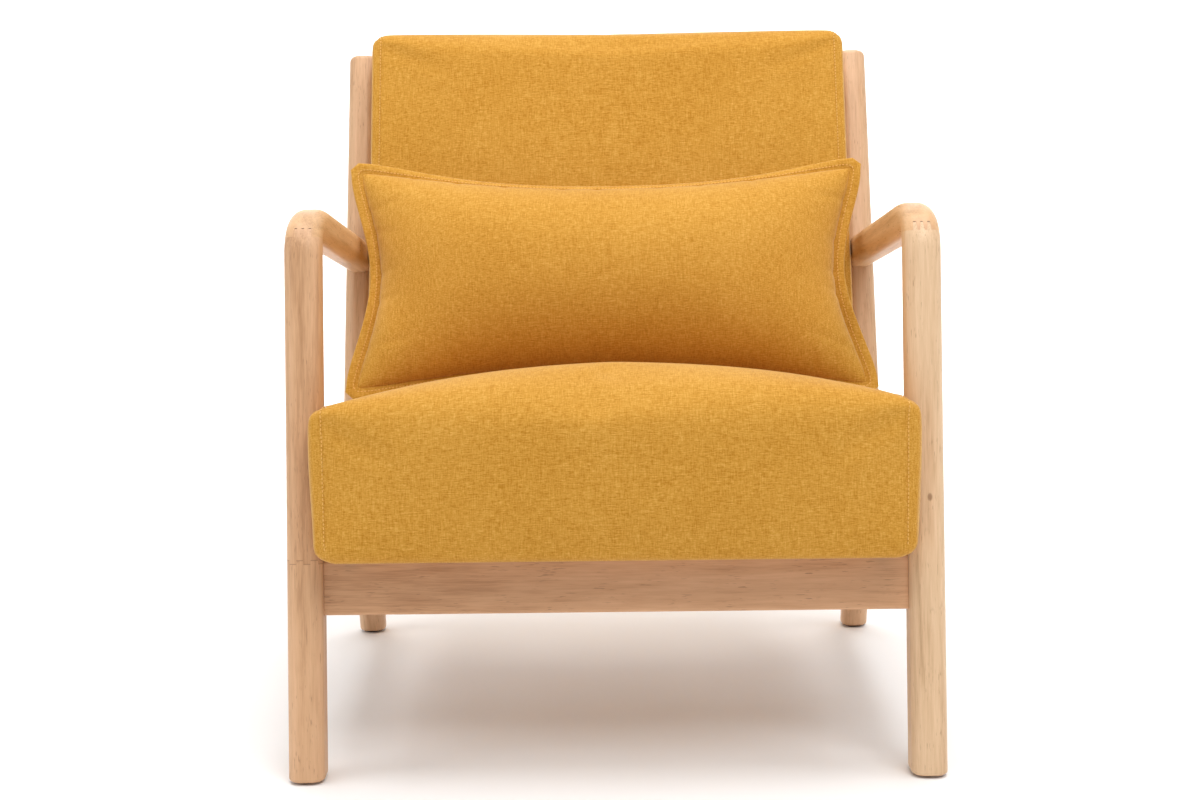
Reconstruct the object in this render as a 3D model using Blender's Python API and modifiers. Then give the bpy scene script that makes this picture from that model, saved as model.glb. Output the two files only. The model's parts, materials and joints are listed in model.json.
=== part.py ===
"""Upholstered lounge armchair on a bent wooden frame.

Units are metres and +Z is up. The chair faces -Y, +X is its right-hand side as
it is looked at from the front. The origin is on the floor under the middle of the chair's
bounding box. "left" is -X and "right" is +X.

Two tilted working frames carry the pieces:
  side frame  leans back by LEAN: y runs back along the arm, z up along the leg
  back frame  leans back by RECLINE: y runs back through the cushion, z up along the post
"""
import math

import bmesh
import bpy
from mathutils import Matrix, Vector

# Overall placing
GAP = 0.0003                        # clearance between touching pieces
DEPTH_CENTRE = 0.36683              # from the front foot's front edge to the origin
SIDES = {"left": -1, "right": 1}

ROOM = 1.0                          # a length that reaches past the whole chair

# Wooden members
MEMBER_W = 0.038                    # across the chair
MEMBER_D = 0.048                    # along the chair
MEMBER_X = 0.326                    # centre line of each side frame
EDGE_R = 0.0145                     # long edges, rounded almost to a stadium section
LEAN = math.radians(8.5)
ARM_UNDER = 0.5735
ARM_TOP = 0.6125
ARM_REACH = 0.64
LEG_BASE = -0.03                    # below the floor, where the leg is then cut
FILLET_R = 0.008                    # inner corner of leg and arm
ELBOW_DROP = 0.0590                 # where the elbow's curve starts below the arm's top
ELBOW_RUN = 0.125                   # where it ends along the arm

# Finger joint between leg and arm
FINGER_PITCH = 0.0073
FINGER_SHIFT = -0.0014
FINGER_ROOT_W = 0.0046
FINGER_TIP_W = 0.0026
FINGER_H = 0.009
FINGER_DEPTH = 0.056

# Rear post and leg, one bent piece
RECLINE = math.radians(20.95)
POST_REF = (0.5432, 0.3444)         # a point on the post's front line, back from the foot and up
POST_TOP = 0.4601                   # along the front line from POST_REF
POST_TOP_R = 0.006
KNEE_Z = 0.300
REAR_FOOT_FRONT = 0.630
REAR_FOOT_D = 0.036
REAR_FOOT_W = 0.034
KNEE_ROUND = 0.055
BELOW_FLOOR = 0.03                  # how far the rear leg is drawn on before it is cut

# Rails, in the side frame
RAIL_LOW = 0.1763
RAIL_TOP = 0.2330
RAIL_T = 0.023
FRONT_RAIL_Y = 0.0265
REAR_RAIL_Y = 0.329
SIDE_RAIL_T = 0.024
RAIL_EDGE_R = 0.003
SIDE_RAIL_END = 0.588               # inside the post, which is then cut away from it

# Where arms and side rails meet the posts, in the side frame
ARM_DOWEL_Y = 0.5245
SIDE_RAIL_DOWEL_Y = 0.5648

# Feet
GLIDE_H = 0.0025
FRONT_GLIDE_R = 0.015
REAR_GLIDE_R = 0.013
GLIDE_CHAMFER = 0.001
GLIDE_SIDES = 16

# Cushions
SKIN = 0.0015
CUSHION_R = 0.018
CUSHION_HALF_W = 0.3065
FOAM_INSET = 0.003
SEAT_CUTS = 7                       # odd, so that the cage has lines on the middle planes
BACK_CUTS = 5
PILLOW_CUTS = 5
SEAT_LOW = 0.2335
SEAT_TOP = 0.398
SEAT_FRONT = -0.0545
SEAT_REAR = 0.3586
SEAT_REAR_SLOPE = 0.2205
SEAT_CROWN = 0.047
SEAT_CROWN_REAR = 0.008
CROWN_FALL_START = 0.13             # shares of the seat's depth where its crown starts to fade
NOSE_SHARE = 0.12                   # and over which its front edge eases down
NOSE_DROP = 0.55                    # share of the crown lost at the very front
CROWN_FULLNESS = 0.9                # below 1 the crown stays high towards the sides
BACK_FRONT = -0.082
BACK_REAR = 0.033
BACK_LOW = -0.125
BACK_TOP = 0.458

# Frames and webbing inside the cushions
BATTEN_T = 0.024
BATTEN_HALF_W = 0.290
BATTEN_LOW = 0.2375
STRAP_W = 0.050
STRAP_T = 0.0016
STRAP_INSET = 0.004                 # from the end of a strap to the outside of the frame
SEAT_STRAPS = 4
BACK_STRAPS = 3
BACK_BATTEN_FRONT = 0.0085
BACK_BATTEN_REAR = 0.029
BACK_BATTEN_LOW = -0.109
BACK_BATTEN_TOP = 0.442
BACK_BATTEN_W = 0.022
BACK_CROSS_W = 0.040
SEAT_FRONT_BATTEN = (-0.036, 0.040)
SEAT_REAR_BATTEN = (0.300, 0.3425)
SEAT_SIDE_BATTEN_W = 0.042
DUST_CLOTH_T = 0.0008
DUST_CLOTH_INSET = 0.022            # from the dust cloth's edge to the cushion's sides

# Lumbar pillow, in the back frame
PILLOW_HALF_W = 0.303
PILLOW_HALF_H = 0.1467
PILLOW_HALF_T = 0.077
PILLOW_EDGE_T = 0.006
PILLOW_CENTRE = (-0.1630, 0.1003)   # y and z in the back frame
PILLOW_WAIST = 0.07                 # how far each side pulls in between its corners
PILLOW_FULLNESS = 0.5               # below 1 the stuffing fills out towards the edges
ZIP_HALF_W = 0.20

# Fasteners
PIN_SIDES = 10
BOLT_R = 0.003
BOLT_HEAD_R = 0.006
BOLT_HEAD_H = 0.0025
BOLT_SUNK = 0.0008
RAIL_BOLT_LEN = 0.075
BACK_BOLT_LEN = 0.066
BACK_BOLT_Z = {"lower": 0.075, "upper": 0.360}
HOLE_PLAY = 0.0004
HOLE_EXTRA = 0.001                  # how far a blind hole runs on past its fastener
CUT_OVER = 0.02                     # how far a cutter stands out of the wood
BARREL_R = 0.005
BARREL_LEN = 0.016
BARREL_FROM_HEAD = 0.062            # from the bolt head's face to the cross nut's axis
DOWEL_R = 0.004
DOWEL_HALF = 0.016
SCREW_R = 0.0025
SCREW_HEAD_R = 0.0055
SCREW_HEAD_H = 0.003
SCREW_SUNK = 0.020                  # depth of the screw heads in the rails' lower edges
SCREW_BITE = 0.020                  # how far the screws reach into the seat's frame
SEAT_SCREW_X = 0.20

# name: (colour, roughness, metallic)
FINISHES = {
    "wood": ((0.70, 0.49, 0.30, 1), 0.42, 0.0),
    "rail_wood": ((0.60, 0.39, 0.24, 1), 0.45, 0.0),
    "inner_wood": ((0.66, 0.50, 0.33, 1), 0.75, 0.0),
    "fabric": ((0.62, 0.32, 0.045, 1), 0.9, 0.0),
    "foam": ((0.85, 0.80, 0.62, 1), 0.95, 0.0),
    "webbing": ((0.10, 0.10, 0.10, 1), 0.85, 0.0),
    "dust_cloth": ((0.05, 0.05, 0.05, 1), 0.95, 0.0),
    "steel": ((0.55, 0.55, 0.56, 1), 0.35, 1.0),
    "glide": ((0.06, 0.045, 0.035, 1), 0.6, 0.0),
    "fill": ((0.90, 0.89, 0.86, 1), 0.95, 0.0),
}


# ---------------------------------------------------------------- scene helpers

def clear_scene():
    for obj in list(bpy.data.objects):
        bpy.data.objects.remove(obj, do_unlink=True)


def make_materials():
    made = {}
    for name, (colour, roughness, metallic) in FINISHES.items():
        mat = bpy.data.materials.new(name)
        mat.use_nodes = True
        shader = mat.node_tree.nodes["Principled BSDF"]
        shader.inputs["Base Color"].default_value = colour
        shader.inputs["Roughness"].default_value = roughness
        shader.inputs["Metallic"].default_value = metallic
        made[name] = mat
    return made


def make_collection(name):
    collection = bpy.data.collections.new(name)
    bpy.context.scene.collection.children.link(collection)
    return collection


def make_empty(name, location, tilt):
    """A tilted working frame: its y axis runs back and down by the tilt."""
    empty = bpy.data.objects.new(name, None)
    empty.location = location
    empty.rotation_euler = (-tilt, 0, 0)
    PARTS.objects.link(empty)
    return empty


def finish(bm, name, finish_name, frame=None, location=(0, 0, 0), smooth=40):
    """Turns the bmesh into a named part."""
    bmesh.ops.recalc_face_normals(bm, faces=bm.faces)
    mesh = bpy.data.meshes.new(name)
    bm.to_mesh(mesh)
    bm.free()
    mesh.shade_smooth()
    mesh.set_sharp_from_angle(angle=math.radians(smooth))
    obj = bpy.data.objects.new(name, mesh)
    obj.location = location
    obj.parent = frame
    if finish_name:
        mesh.materials.append(MATERIALS[finish_name])
        PARTS.objects.link(obj)
    else:
        obj.hide_render = True
        obj.display_type = "WIRE"
        CUTTERS.objects.link(obj)
    return obj


def boolean(obj, cutter, operation="DIFFERENCE"):
    modifier = obj.modifiers.new(cutter.name, "BOOLEAN")
    modifier.operation = operation
    modifier.object = cutter
    modifier.solver = "EXACT"


# ---------------------------------------------------------------- shape helpers

def bezier(start, corner, end, steps):
    """Points of a quadratic curve that leaves start and reaches end, pulled to the corner."""
    points = []
    for i in range(steps + 1):
        q = i / steps
        points.append(tuple(
            (1 - q) ** 2 * a + 2 * q * (1 - q) * b + q * q * c
            for a, b, c in zip(start, corner, end)))
    return points


def towards(start, end, distance):
    step = (Vector(end) - Vector(start)).normalized() * distance
    return tuple(Vector(start) + step)


def slab(outline, half_width):
    """A plate across X with the outline (y, z)."""
    bm = bmesh.new()
    verts = [bm.verts.new((-half_width, y, z)) for y, z in outline]
    face = bm.faces.new(verts)
    grown = bmesh.ops.extrude_face_region(bm, geom=[face])["geom"]
    moved = [v for v in grown if isinstance(v, bmesh.types.BMVert)]
    bmesh.ops.translate(bm, verts=moved, vec=(2 * half_width, 0, 0))
    bmesh.ops.recalc_face_normals(bm, faces=bm.faces)
    return bm


def round_long_edges(bm, half_width, radius, segments, is_end):
    """Rounds the plate's edges, apart from those whose two points are both at an end."""
    edges = []
    for edge in bm.edges:
        a, b = (v.co for v in edge.verts)
        on_face = abs(abs(a.x) - half_width) < 1e-6 and abs(a.x - b.x) < 1e-6
        if on_face and not (is_end(a) and is_end(b)):
            edges.append(edge)
    bmesh.ops.bevel(bm, geom=edges, offset=radius, offset_type="OFFSET", segments=segments,
                    profile=0.5, affect="EDGES", clamp_overlap=False)


def box(name, low, high, finish_name, frame=None, radius=0.0, segments=2):
    """A box between two corners, its edges along X rounded by the radius."""
    bm = bmesh.new()
    bmesh.ops.create_cube(bm, size=1)
    size = [h - l for l, h in zip(low, high)]
    centre = [(h + l) / 2 for l, h in zip(low, high)]
    bmesh.ops.scale(bm, vec=size, verts=bm.verts)
    bmesh.ops.translate(bm, vec=centre, verts=bm.verts)
    if radius:
        along_x = [e for e in bm.edges if abs(e.verts[0].co.x - e.verts[1].co.x) > size[0] / 2]
        bmesh.ops.bevel(bm, geom=along_x, offset=radius, segments=segments, profile=0.5,
                        affect="EDGES")
    return finish(bm, name, finish_name, frame)


def rod_along(axis, radius, start, end):
    """A cylinder along one axis, from start to end; its other two coordinates are start's."""
    bm = bmesh.new()
    index = "XYZ".index(axis)
    length = end[index] - start[index]
    turn = {"X": Matrix.Rotation(math.pi / 2, 4, "Y"),
            "Y": Matrix.Rotation(math.pi / 2, 4, "X"),
            "Z": Matrix.Identity(4)}[axis]
    centre = Vector(start)
    centre[index] += length / 2
    bmesh.ops.create_cone(bm, cap_ends=True, segments=PIN_SIDES, radius1=radius, radius2=radius,
                          depth=abs(length), matrix=Matrix.Translation(centre) @ turn)
    return bm


def turned_pin(profile, sides=PIN_SIDES):
    """A turned solid about +Z from (radius, z) pairs listed from bottom to top."""
    bm = bmesh.new()
    rings = []
    for radius, z in profile:
        ring = bmesh.ops.create_circle(bm, radius=radius, segments=sides,
                                       matrix=Matrix.Translation((0, 0, z)))["verts"]
        rings.append(ring)
    for low, high in zip(rings, rings[1:]):
        for i in range(sides):
            j = (i + 1) % sides
            bm.faces.new((low[i], low[j], high[j], high[i]))
    bm.faces.new(list(reversed(rings[0])))
    bm.faces.new(rings[-1])
    return bm


def cushion_cage(low, high, radius, cuts):
    """A rounded box as a subdivided cube: two lines of faces on each rounded edge."""
    half = [(h - l) / 2 for l, h in zip(low, high)]
    centre = Vector([(h + l) / 2 for l, h in zip(low, high)])
    bm = bmesh.new()
    bmesh.ops.create_cube(bm, size=2)
    bmesh.ops.subdivide_edges(bm, edges=bm.edges, cuts=cuts, use_grid_fill=True)
    lines = (cuts + 1) // 2
    for vert in bm.verts:
        flat = Vector()
        out = Vector()
        for i in range(3):
            straight = half[i] - radius
            level = abs(vert.co[i]) * lines
            sign = math.copysign(1, vert.co[i])
            flat[i] = sign * straight * min(level / (lines - 1), 1.0)
            if level > lines - 0.5:
                out[i] = sign
        vert.co = centre + flat + out.normalized() * radius
    return bm


def drill(pieces, name, axis, start, end, radius, frame):
    """Cuts a round hole along one axis of the frame through each of the pieces."""
    cutter = finish(rod_along(axis, radius, start, end), name, None, frame)
    for piece in pieces:
        boolean(piece, cutter)


# ---------------------------------------------------------------- the side frames

def side_outline(grow=0.0):
    """Leg and arm as one L in the side frame, before they are parted at the finger joint."""
    front, rear = -grow, MEMBER_D + grow
    under, top = ARM_UNDER - grow, ARM_TOP + grow
    inner = bezier((rear, under - FILLET_R), (rear, under), (rear + FILLET_R, under), 3)
    outer = bezier((ELBOW_RUN, top), (front, top), (front, top - ELBOW_DROP), 8)
    ends = [(ARM_REACH, under), (ARM_REACH, top)]
    return [(front, LEG_BASE), (rear, LEG_BASE)] + inner + ends + outer


def side_solid(name, finish_name, side, grow=0.0):
    half = MEMBER_W / 2 + grow
    bm = slab(side_outline(grow), half)
    round_long_edges(bm, half, EDGE_R + grow, 4,
                     lambda p: p.z < LEG_BASE + 1e-4 or p.y > ARM_REACH - 1e-4)
    return finish(bm, name, finish_name, SIDE_FRAME, (side * MEMBER_X, 0, 0))


def finger_region(name, side, shrink):
    """Everything that belongs to the leg: below a comb of tapered fingers."""
    reach = MEMBER_W
    root = ARM_UNDER - shrink
    tip = ARM_UNDER + FINGER_H - shrink
    outline = [(-reach, LEG_BASE - reach), (reach, LEG_BASE - reach), (reach, root)]
    for step in (1, 0, -1):
        centre = side * FINGER_SHIFT + step * FINGER_PITCH
        wide = FINGER_ROOT_W / 2 - shrink
        narrow = FINGER_TIP_W / 2 - shrink
        outline += [(centre + wide, root), (centre + narrow, tip),
                    (centre - narrow, tip), (centre - wide, root)]
    outline.append((-reach, root))
    bm = bmesh.new()
    verts = [bm.verts.new((x, -reach, z)) for x, z in outline]
    grown = bmesh.ops.extrude_face_region(bm, geom=[bm.faces.new(verts)])["geom"]
    moved = [v for v in grown if isinstance(v, bmesh.types.BMVert)]
    depth = reach + FINGER_DEPTH - shrink
    bmesh.ops.translate(bm, verts=moved, vec=(0, depth, 0))
    return finish(bm, name, None, SIDE_FRAME, (side * MEMBER_X, 0, 0))


def back_to_chair(y, z):
    """A point of the back frame as (back from the foot, up)."""
    return (POST_REF[0] + y * math.cos(RECLINE) + z * math.sin(RECLINE),
            POST_REF[1] - y * math.sin(RECLINE) + z * math.cos(RECLINE))


def post_outline(grow=0.0):
    """The bent post in (back from the foot, up)."""
    top_front = back_to_chair(-grow, POST_TOP)
    top_rear = back_to_chair(MEMBER_D + grow, POST_TOP)
    knee = back_to_chair(0, (KNEE_Z - POST_REF[1]) / math.cos(RECLINE))
    shin = Vector((REAR_FOOT_FRONT - knee[0], -knee[1])).normalized()
    square = Vector((-shin.y, shin.x))
    sole = Vector((REAR_FOOT_FRONT, 0)) + shin * BELOW_FLOOR
    front_sole = sole - square * grow
    rear_sole = sole + square * (REAR_FOOT_D + grow)
    front_knee = Vector(knee) - (square + Vector((math.cos(RECLINE), 0))).normalized() * grow
    rear_low = Vector(knee) + square * (MEMBER_D + grow)
    rear_high = back_to_chair(MEMBER_D + grow, 0)
    rear_knee = line_crossing(rear_low, rear_sole, Vector(rear_high), Vector(top_rear))
    front_bend = bezier(towards(front_knee, top_front, KNEE_ROUND), front_knee,
                        towards(front_knee, front_sole, KNEE_ROUND), 5)
    rear_bend = bezier(towards(rear_knee, rear_sole, KNEE_ROUND), rear_knee,
                       towards(rear_knee, top_rear, KNEE_ROUND), 5)
    return [top_front] + front_bend + [tuple(front_sole), tuple(rear_sole)] + rear_bend + [top_rear]


def line_crossing(a, b, c, d):
    """Where the line through a and b meets the line through c and d, in the plane."""
    r, s = b - a, d - c
    t = (c - a).cross(s) / r.cross(s)
    return a + r * t


def post_solid(name, finish_name, side, grow=0.0):
    half = MEMBER_W / 2 + grow
    outline = post_outline(grow)
    bm = slab([(y - DEPTH_CENTRE, z) for y, z in outline], half)
    top_y, top_z = outline[0][0] - DEPTH_CENTRE, outline[0][1]
    up = Vector((0, math.sin(RECLINE), math.cos(RECLINE)))
    top_level = up.dot(Vector((0, top_y, top_z)))
    round_long_edges(bm, half, EDGE_R + grow, 4,
                     lambda p: p.z < 0 or up.dot(p) > top_level - 1e-4)
    crown = [e for e in bm.edges
             if all(up.dot(v.co) > top_level - 1e-5 for v in e.verts)]
    bmesh.ops.bevel(bm, geom=crown, offset=POST_TOP_R, segments=2, profile=0.5, affect="EDGES")
    bmesh.ops.triangulate(bm, faces=[f for f in bm.faces if len(f.verts) > 4])
    narrowing = 1 - REAR_FOOT_W / MEMBER_W
    for vert in bm.verts:
        below = min(max((KNEE_Z - KNEE_ROUND - vert.co.z) / (KNEE_Z - KNEE_ROUND), 0), 1)
        vert.co.x *= 1 - narrowing * below
    return finish(bm, name, finish_name, None, (side * MEMBER_X, 0, 0))


def build_side(word, side, floor):
    """Front leg, arm and rear post of one side, with the shapes that their neighbours need."""
    leg_part = finger_region(f"leg_share_{word}", side, GAP / 2)
    leg_room = finger_region(f"leg_room_{word}", side, -GAP / 2)
    post_room = post_solid(f"post_room_{word}", None, side, GAP)
    side_room = side_solid(f"side_room_{word}", None, side, GAP)
    leg = side_solid(f"front_leg_{word}", "wood", side)
    boolean(leg, leg_part, "INTERSECT")
    boolean(leg, floor)
    arm = side_solid(f"arm_{word}", "wood", side)
    boolean(arm, leg_room)
    boolean(arm, post_room)
    boolean(arm, POST_SHADOW)
    post = post_solid(f"rear_post_{word}", "wood", side)
    boolean(post, floor)
    return {"leg": leg, "arm": arm, "post": post, "post_room": post_room, "side_room": side_room}


def build_glides():
    """A thin round glide under each foot."""
    rear_shift = REAR_FOOT_D / 2 / math.cos(LEAN)
    feet = {"front": (MEMBER_D / 2 / math.cos(LEAN), FRONT_GLIDE_R),
            "rear": (REAR_FOOT_FRONT + rear_shift, REAR_GLIDE_R)}
    for row, (back, radius) in feet.items():
        for word, side in SIDES.items():
            profile = [(radius, 0), (radius, GLIDE_H - GLIDE_CHAMFER),
                       (radius - GLIDE_CHAMFER, GLIDE_H)]
            bm = turned_pin(profile, GLIDE_SIDES)
            finish(bm, f"glide_{row}_{word}", "glide", None,
                   (side * MEMBER_X, back - DEPTH_CENTRE, 0))


def build_rails(sides):
    """The four rails under the seat: front one between the legs, rear one between the sides."""
    half_t = RAIL_T / 2
    front_x = MEMBER_X - MEMBER_W / 2 + EDGE_R / 2
    front = box("front_rail", (-front_x, FRONT_RAIL_Y - half_t, RAIL_LOW),
                (front_x, FRONT_RAIL_Y + half_t, RAIL_TOP), "rail_wood", SIDE_FRAME, RAIL_EDGE_R)
    rear_x = MEMBER_X - SIDE_RAIL_T / 2 - GAP
    rear = box("rear_rail", (-rear_x, REAR_RAIL_Y - half_t, RAIL_LOW),
               (rear_x, REAR_RAIL_Y + half_t, RAIL_TOP), "rail_wood", SIDE_FRAME, RAIL_EDGE_R)
    side_rails = {}
    for word, side in SIDES.items():
        centre = side * MEMBER_X
        rail = box(f"side_rail_{word}",
                   (centre - SIDE_RAIL_T / 2, MEMBER_D - EDGE_R / 2, RAIL_LOW),
                   (centre + SIDE_RAIL_T / 2, SIDE_RAIL_END, RAIL_TOP),
                   "wood", SIDE_FRAME)
        boolean(rail, sides[word]["side_room"])
        boolean(rail, sides[word]["post_room"])
        boolean(front, sides[word]["side_room"])
        side_rails[word] = rail
    return front, rear, side_rails


# ---------------------------------------------------------------- fasteners

def add_bolt(name, head_x, length, y, z, frame):
    """A flat-headed bolt along X whose head faces outwards."""
    side = math.copysign(1, head_x)
    under_head = head_x - side * BOLT_HEAD_H
    tip = head_x - side * length
    profile = [(BOLT_HEAD_R, 0), (BOLT_HEAD_R, BOLT_HEAD_H), (BOLT_R, BOLT_HEAD_H),
               (BOLT_R, length)]
    bm = turned_pin(profile)
    turn = Matrix.Rotation(-side * math.pi / 2, 4, "Y")
    bmesh.ops.transform(bm, matrix=Matrix.Translation((head_x, y, z)) @ turn, verts=bm.verts)
    finish(bm, name, "steel", frame)
    return under_head, tip


def bolt_holes(pieces, name, head_x, under_head, tip, y, z, frame):
    """The counterbore for the head and the clearance hole for the shank."""
    side = math.copysign(1, head_x)
    drill(pieces, f"{name}_sink", "X", (under_head - side * HOLE_PLAY, y, z),
          (head_x + side * CUT_OVER, y, z), BOLT_HEAD_R + HOLE_PLAY, frame)
    drill(pieces, f"{name}_hole", "X", (tip - side * HOLE_EXTRA, y, z),
          (head_x, y, z), BOLT_R + HOLE_PLAY, frame)


def add_barrel_nut(name, x, y, z, rail):
    """A cross nut in a hole drilled up from the rail's lower edge."""
    bm = rod_along("Z", BARREL_R, (x, y, z - BARREL_LEN / 2), (x, y, z + BARREL_LEN / 2))
    nut = finish(bm, name, "steel", SIDE_FRAME)
    drill([nut], f"{name}_thread", "X", (x - BARREL_R * 2, y, z), (x + BARREL_R * 2, y, z),
          BOLT_R + HOLE_PLAY / 2, SIDE_FRAME)
    drill([rail], f"{name}_hole", "Z", (x, y, RAIL_LOW - CUT_OVER),
          (x, y, z + BARREL_LEN / 2 + HOLE_PLAY), BARREL_R + HOLE_PLAY, SIDE_FRAME)


def build_rail_bolts(front, rear, sides, side_rails):
    z = (RAIL_LOW + RAIL_TOP) / 2
    leg_face = MEMBER_X + MEMBER_W / 2 - BOLT_SUNK
    rail_face = MEMBER_X + SIDE_RAIL_T / 2 - BOLT_SUNK
    for word, side in SIDES.items():
        for row, rail, y, face, through in (
                ("front", front, FRONT_RAIL_Y, leg_face, sides[word]["leg"]),
                ("rear", rear, REAR_RAIL_Y, rail_face, side_rails[word])):
            name = f"rail_bolt_{row}_{word}"
            head_x = side * face
            under_head, tip = add_bolt(name, head_x, RAIL_BOLT_LEN, y, z, SIDE_FRAME)
            bolt_holes([through, rail], name, head_x, under_head, tip, y, z, SIDE_FRAME)
            nut_x = head_x - side * BARREL_FROM_HEAD
            add_barrel_nut(f"barrel_nut_{row}_{word}", nut_x, y, z, rail)


def build_dowels(sides, side_rails):
    """Blind dowels: side rails into leg and post, arms into posts."""
    z = (RAIL_LOW + RAIL_TOP) / 2
    for word, side in SIDES.items():
        x = side * MEMBER_X
        spots = {
            f"side_rail_dowel_front_{word}": (MEMBER_D, z, [sides[word]["leg"], side_rails[word]]),
            f"side_rail_dowel_rear_{word}": (SIDE_RAIL_DOWEL_Y, z,
                                             [sides[word]["post"], side_rails[word]]),
            f"arm_dowel_{word}": (ARM_DOWEL_Y, (ARM_UNDER + ARM_TOP) / 2,
                                  [sides[word]["post"], sides[word]["arm"]]),
        }
        for name, (y, height, pieces) in spots.items():
            low, high = (x, y - DOWEL_HALF, height), (x, y + DOWEL_HALF, height)
            finish(rod_along("Y", DOWEL_R, low, high), name, "inner_wood", SIDE_FRAME)
            low = (x, y - DOWEL_HALF - HOLE_EXTRA, height)
            high = (x, y + DOWEL_HALF + HOLE_EXTRA, height)
            drill(pieces, f"{name}_hole", "Y", low, high, DOWEL_R + HOLE_PLAY / 2, SIDE_FRAME)


# ---------------------------------------------------------------- seat

def shape_seat(bm, inset=0.0):
    """Crowns the top and leans the rear wall back."""
    length = SEAT_REAR - SEAT_FRONT
    for vert in bm.verts:
        x, y, z = vert.co
        along = (y - SEAT_FRONT) / length
        height = (z - SEAT_LOW) / (SEAT_TOP - SEAT_LOW)
        across = 1 - (x / (CUSHION_HALF_W - inset)) ** 2
        fade = min(max((along - CROWN_FALL_START) / (1 - CROWN_FALL_START), 0), 1)
        crown = SEAT_CROWN + (SEAT_CROWN_REAR - SEAT_CROWN) * fade
        front_fall = 1 - max(NOSE_SHARE - along, 0) / NOSE_SHARE * NOSE_DROP
        rise = max(across, 0) ** CROWN_FULLNESS * max(height, 0) ** 2
        vert.co.z = z + crown * rise * front_fall
        vert.co.y = y + SEAT_REAR_SLOPE * (z - SEAT_LOW) * max(along, 0)


def open_below(bm, axis, level):
    """Removes the flat faces at the given level, so that the shell has an opening."""
    faces = [f for f in bm.faces if all(abs(v.co[axis] - level) < 1e-5 for v in f.verts)]
    bmesh.ops.delete(bm, geom=faces, context="FACES")


def make_shell(obj):
    shell = obj.modifiers.new("skin", "SOLIDIFY")
    shell.thickness = SKIN
    shell.offset = -1


def build_seat():
    half = CUSHION_HALF_W
    bm = cushion_cage((-half, SEAT_FRONT, SEAT_LOW), (half, SEAT_REAR, SEAT_TOP), CUSHION_R,
                      SEAT_CUTS)
    open_below(bm, 2, SEAT_LOW)
    shape_seat(bm)
    make_shell(finish(bm, "seat_cover", "fabric", SIDE_FRAME))

    side_low, side_high = SEAT_FRONT_BATTEN[1] + GAP, SEAT_REAR_BATTEN[0] - GAP
    low, high = BATTEN_LOW, BATTEN_LOW + BATTEN_T
    wide = BATTEN_HALF_W
    battens = {
        "front": ((-wide, SEAT_FRONT_BATTEN[0], low), (wide, SEAT_FRONT_BATTEN[1], high)),
        "rear": ((-wide, SEAT_REAR_BATTEN[0], low), (wide, SEAT_REAR_BATTEN[1], high)),
        "left": ((-wide, side_low, low), (-wide + SEAT_SIDE_BATTEN_W, side_high, high)),
        "right": ((wide - SEAT_SIDE_BATTEN_W, side_low, low), (wide, side_high, high)),
    }
    made = {name: box(f"seat_batten_{name}", *corners, "inner_wood", SIDE_FRAME)
            for name, corners in battens.items()}

    strap_low = high + GAP
    pitch = (side_high - side_low) / SEAT_STRAPS
    for i in range(SEAT_STRAPS):
        y = side_low + pitch * (i + 0.5)
        box(f"seat_strap_{i + 1}", (-wide + STRAP_INSET, y - STRAP_W / 2, strap_low),
            (wide - STRAP_INSET, y + STRAP_W / 2, strap_low + STRAP_T), "webbing", SIDE_FRAME)

    foam_low = strap_low + STRAP_T + GAP
    inset = FOAM_INSET
    bm = cushion_cage((-half + inset, SEAT_FRONT + inset, foam_low),
                      (half - inset, SEAT_REAR - inset, SEAT_TOP - inset), CUSHION_R - inset,
                      SEAT_CUTS)
    shape_seat(bm, inset)
    finish(bm, "seat_foam", "foam", SIDE_FRAME)

    rim = half - DUST_CLOTH_INSET
    dust = box("seat_dust_cover", (-rim, SEAT_FRONT + DUST_CLOTH_INSET, SEAT_LOW),
               (rim, SEAT_REAR - DUST_CLOTH_INSET, SEAT_LOW + DUST_CLOTH_T),
               "dust_cloth", SIDE_FRAME)
    return made, dust


def build_seat_screws(front, rear, battens, dust):
    """Screws up through the rails into the seat's frame."""
    head_z = RAIL_LOW + SCREW_SUNK
    neck_z = head_z + SCREW_HEAD_H
    tip_z = BATTEN_LOW + SCREW_BITE
    for word, side in SIDES.items():
        x = side * SEAT_SCREW_X
        for row, rail, y in (("front", front, FRONT_RAIL_Y), ("rear", rear, REAR_RAIL_Y)):
            name = f"seat_screw_{row}_{word}"
            profile = [(SCREW_HEAD_R, head_z), (SCREW_HEAD_R, neck_z),
                       (SCREW_R, neck_z), (SCREW_R, tip_z)]
            finish(turned_pin(profile), name, "steel", SIDE_FRAME, (x, y, 0))
            drill([rail], f"{name}_sink", "Z", (x, y, RAIL_LOW - CUT_OVER),
                  (x, y, neck_z + HOLE_PLAY), SCREW_HEAD_R + HOLE_PLAY, SIDE_FRAME)
            drill([rail, dust, battens[row]], f"{name}_hole", "Z", (x, y, head_z),
                  (x, y, tip_z + HOLE_EXTRA), SCREW_R + HOLE_PLAY, SIDE_FRAME)


# ---------------------------------------------------------------- back

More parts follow.
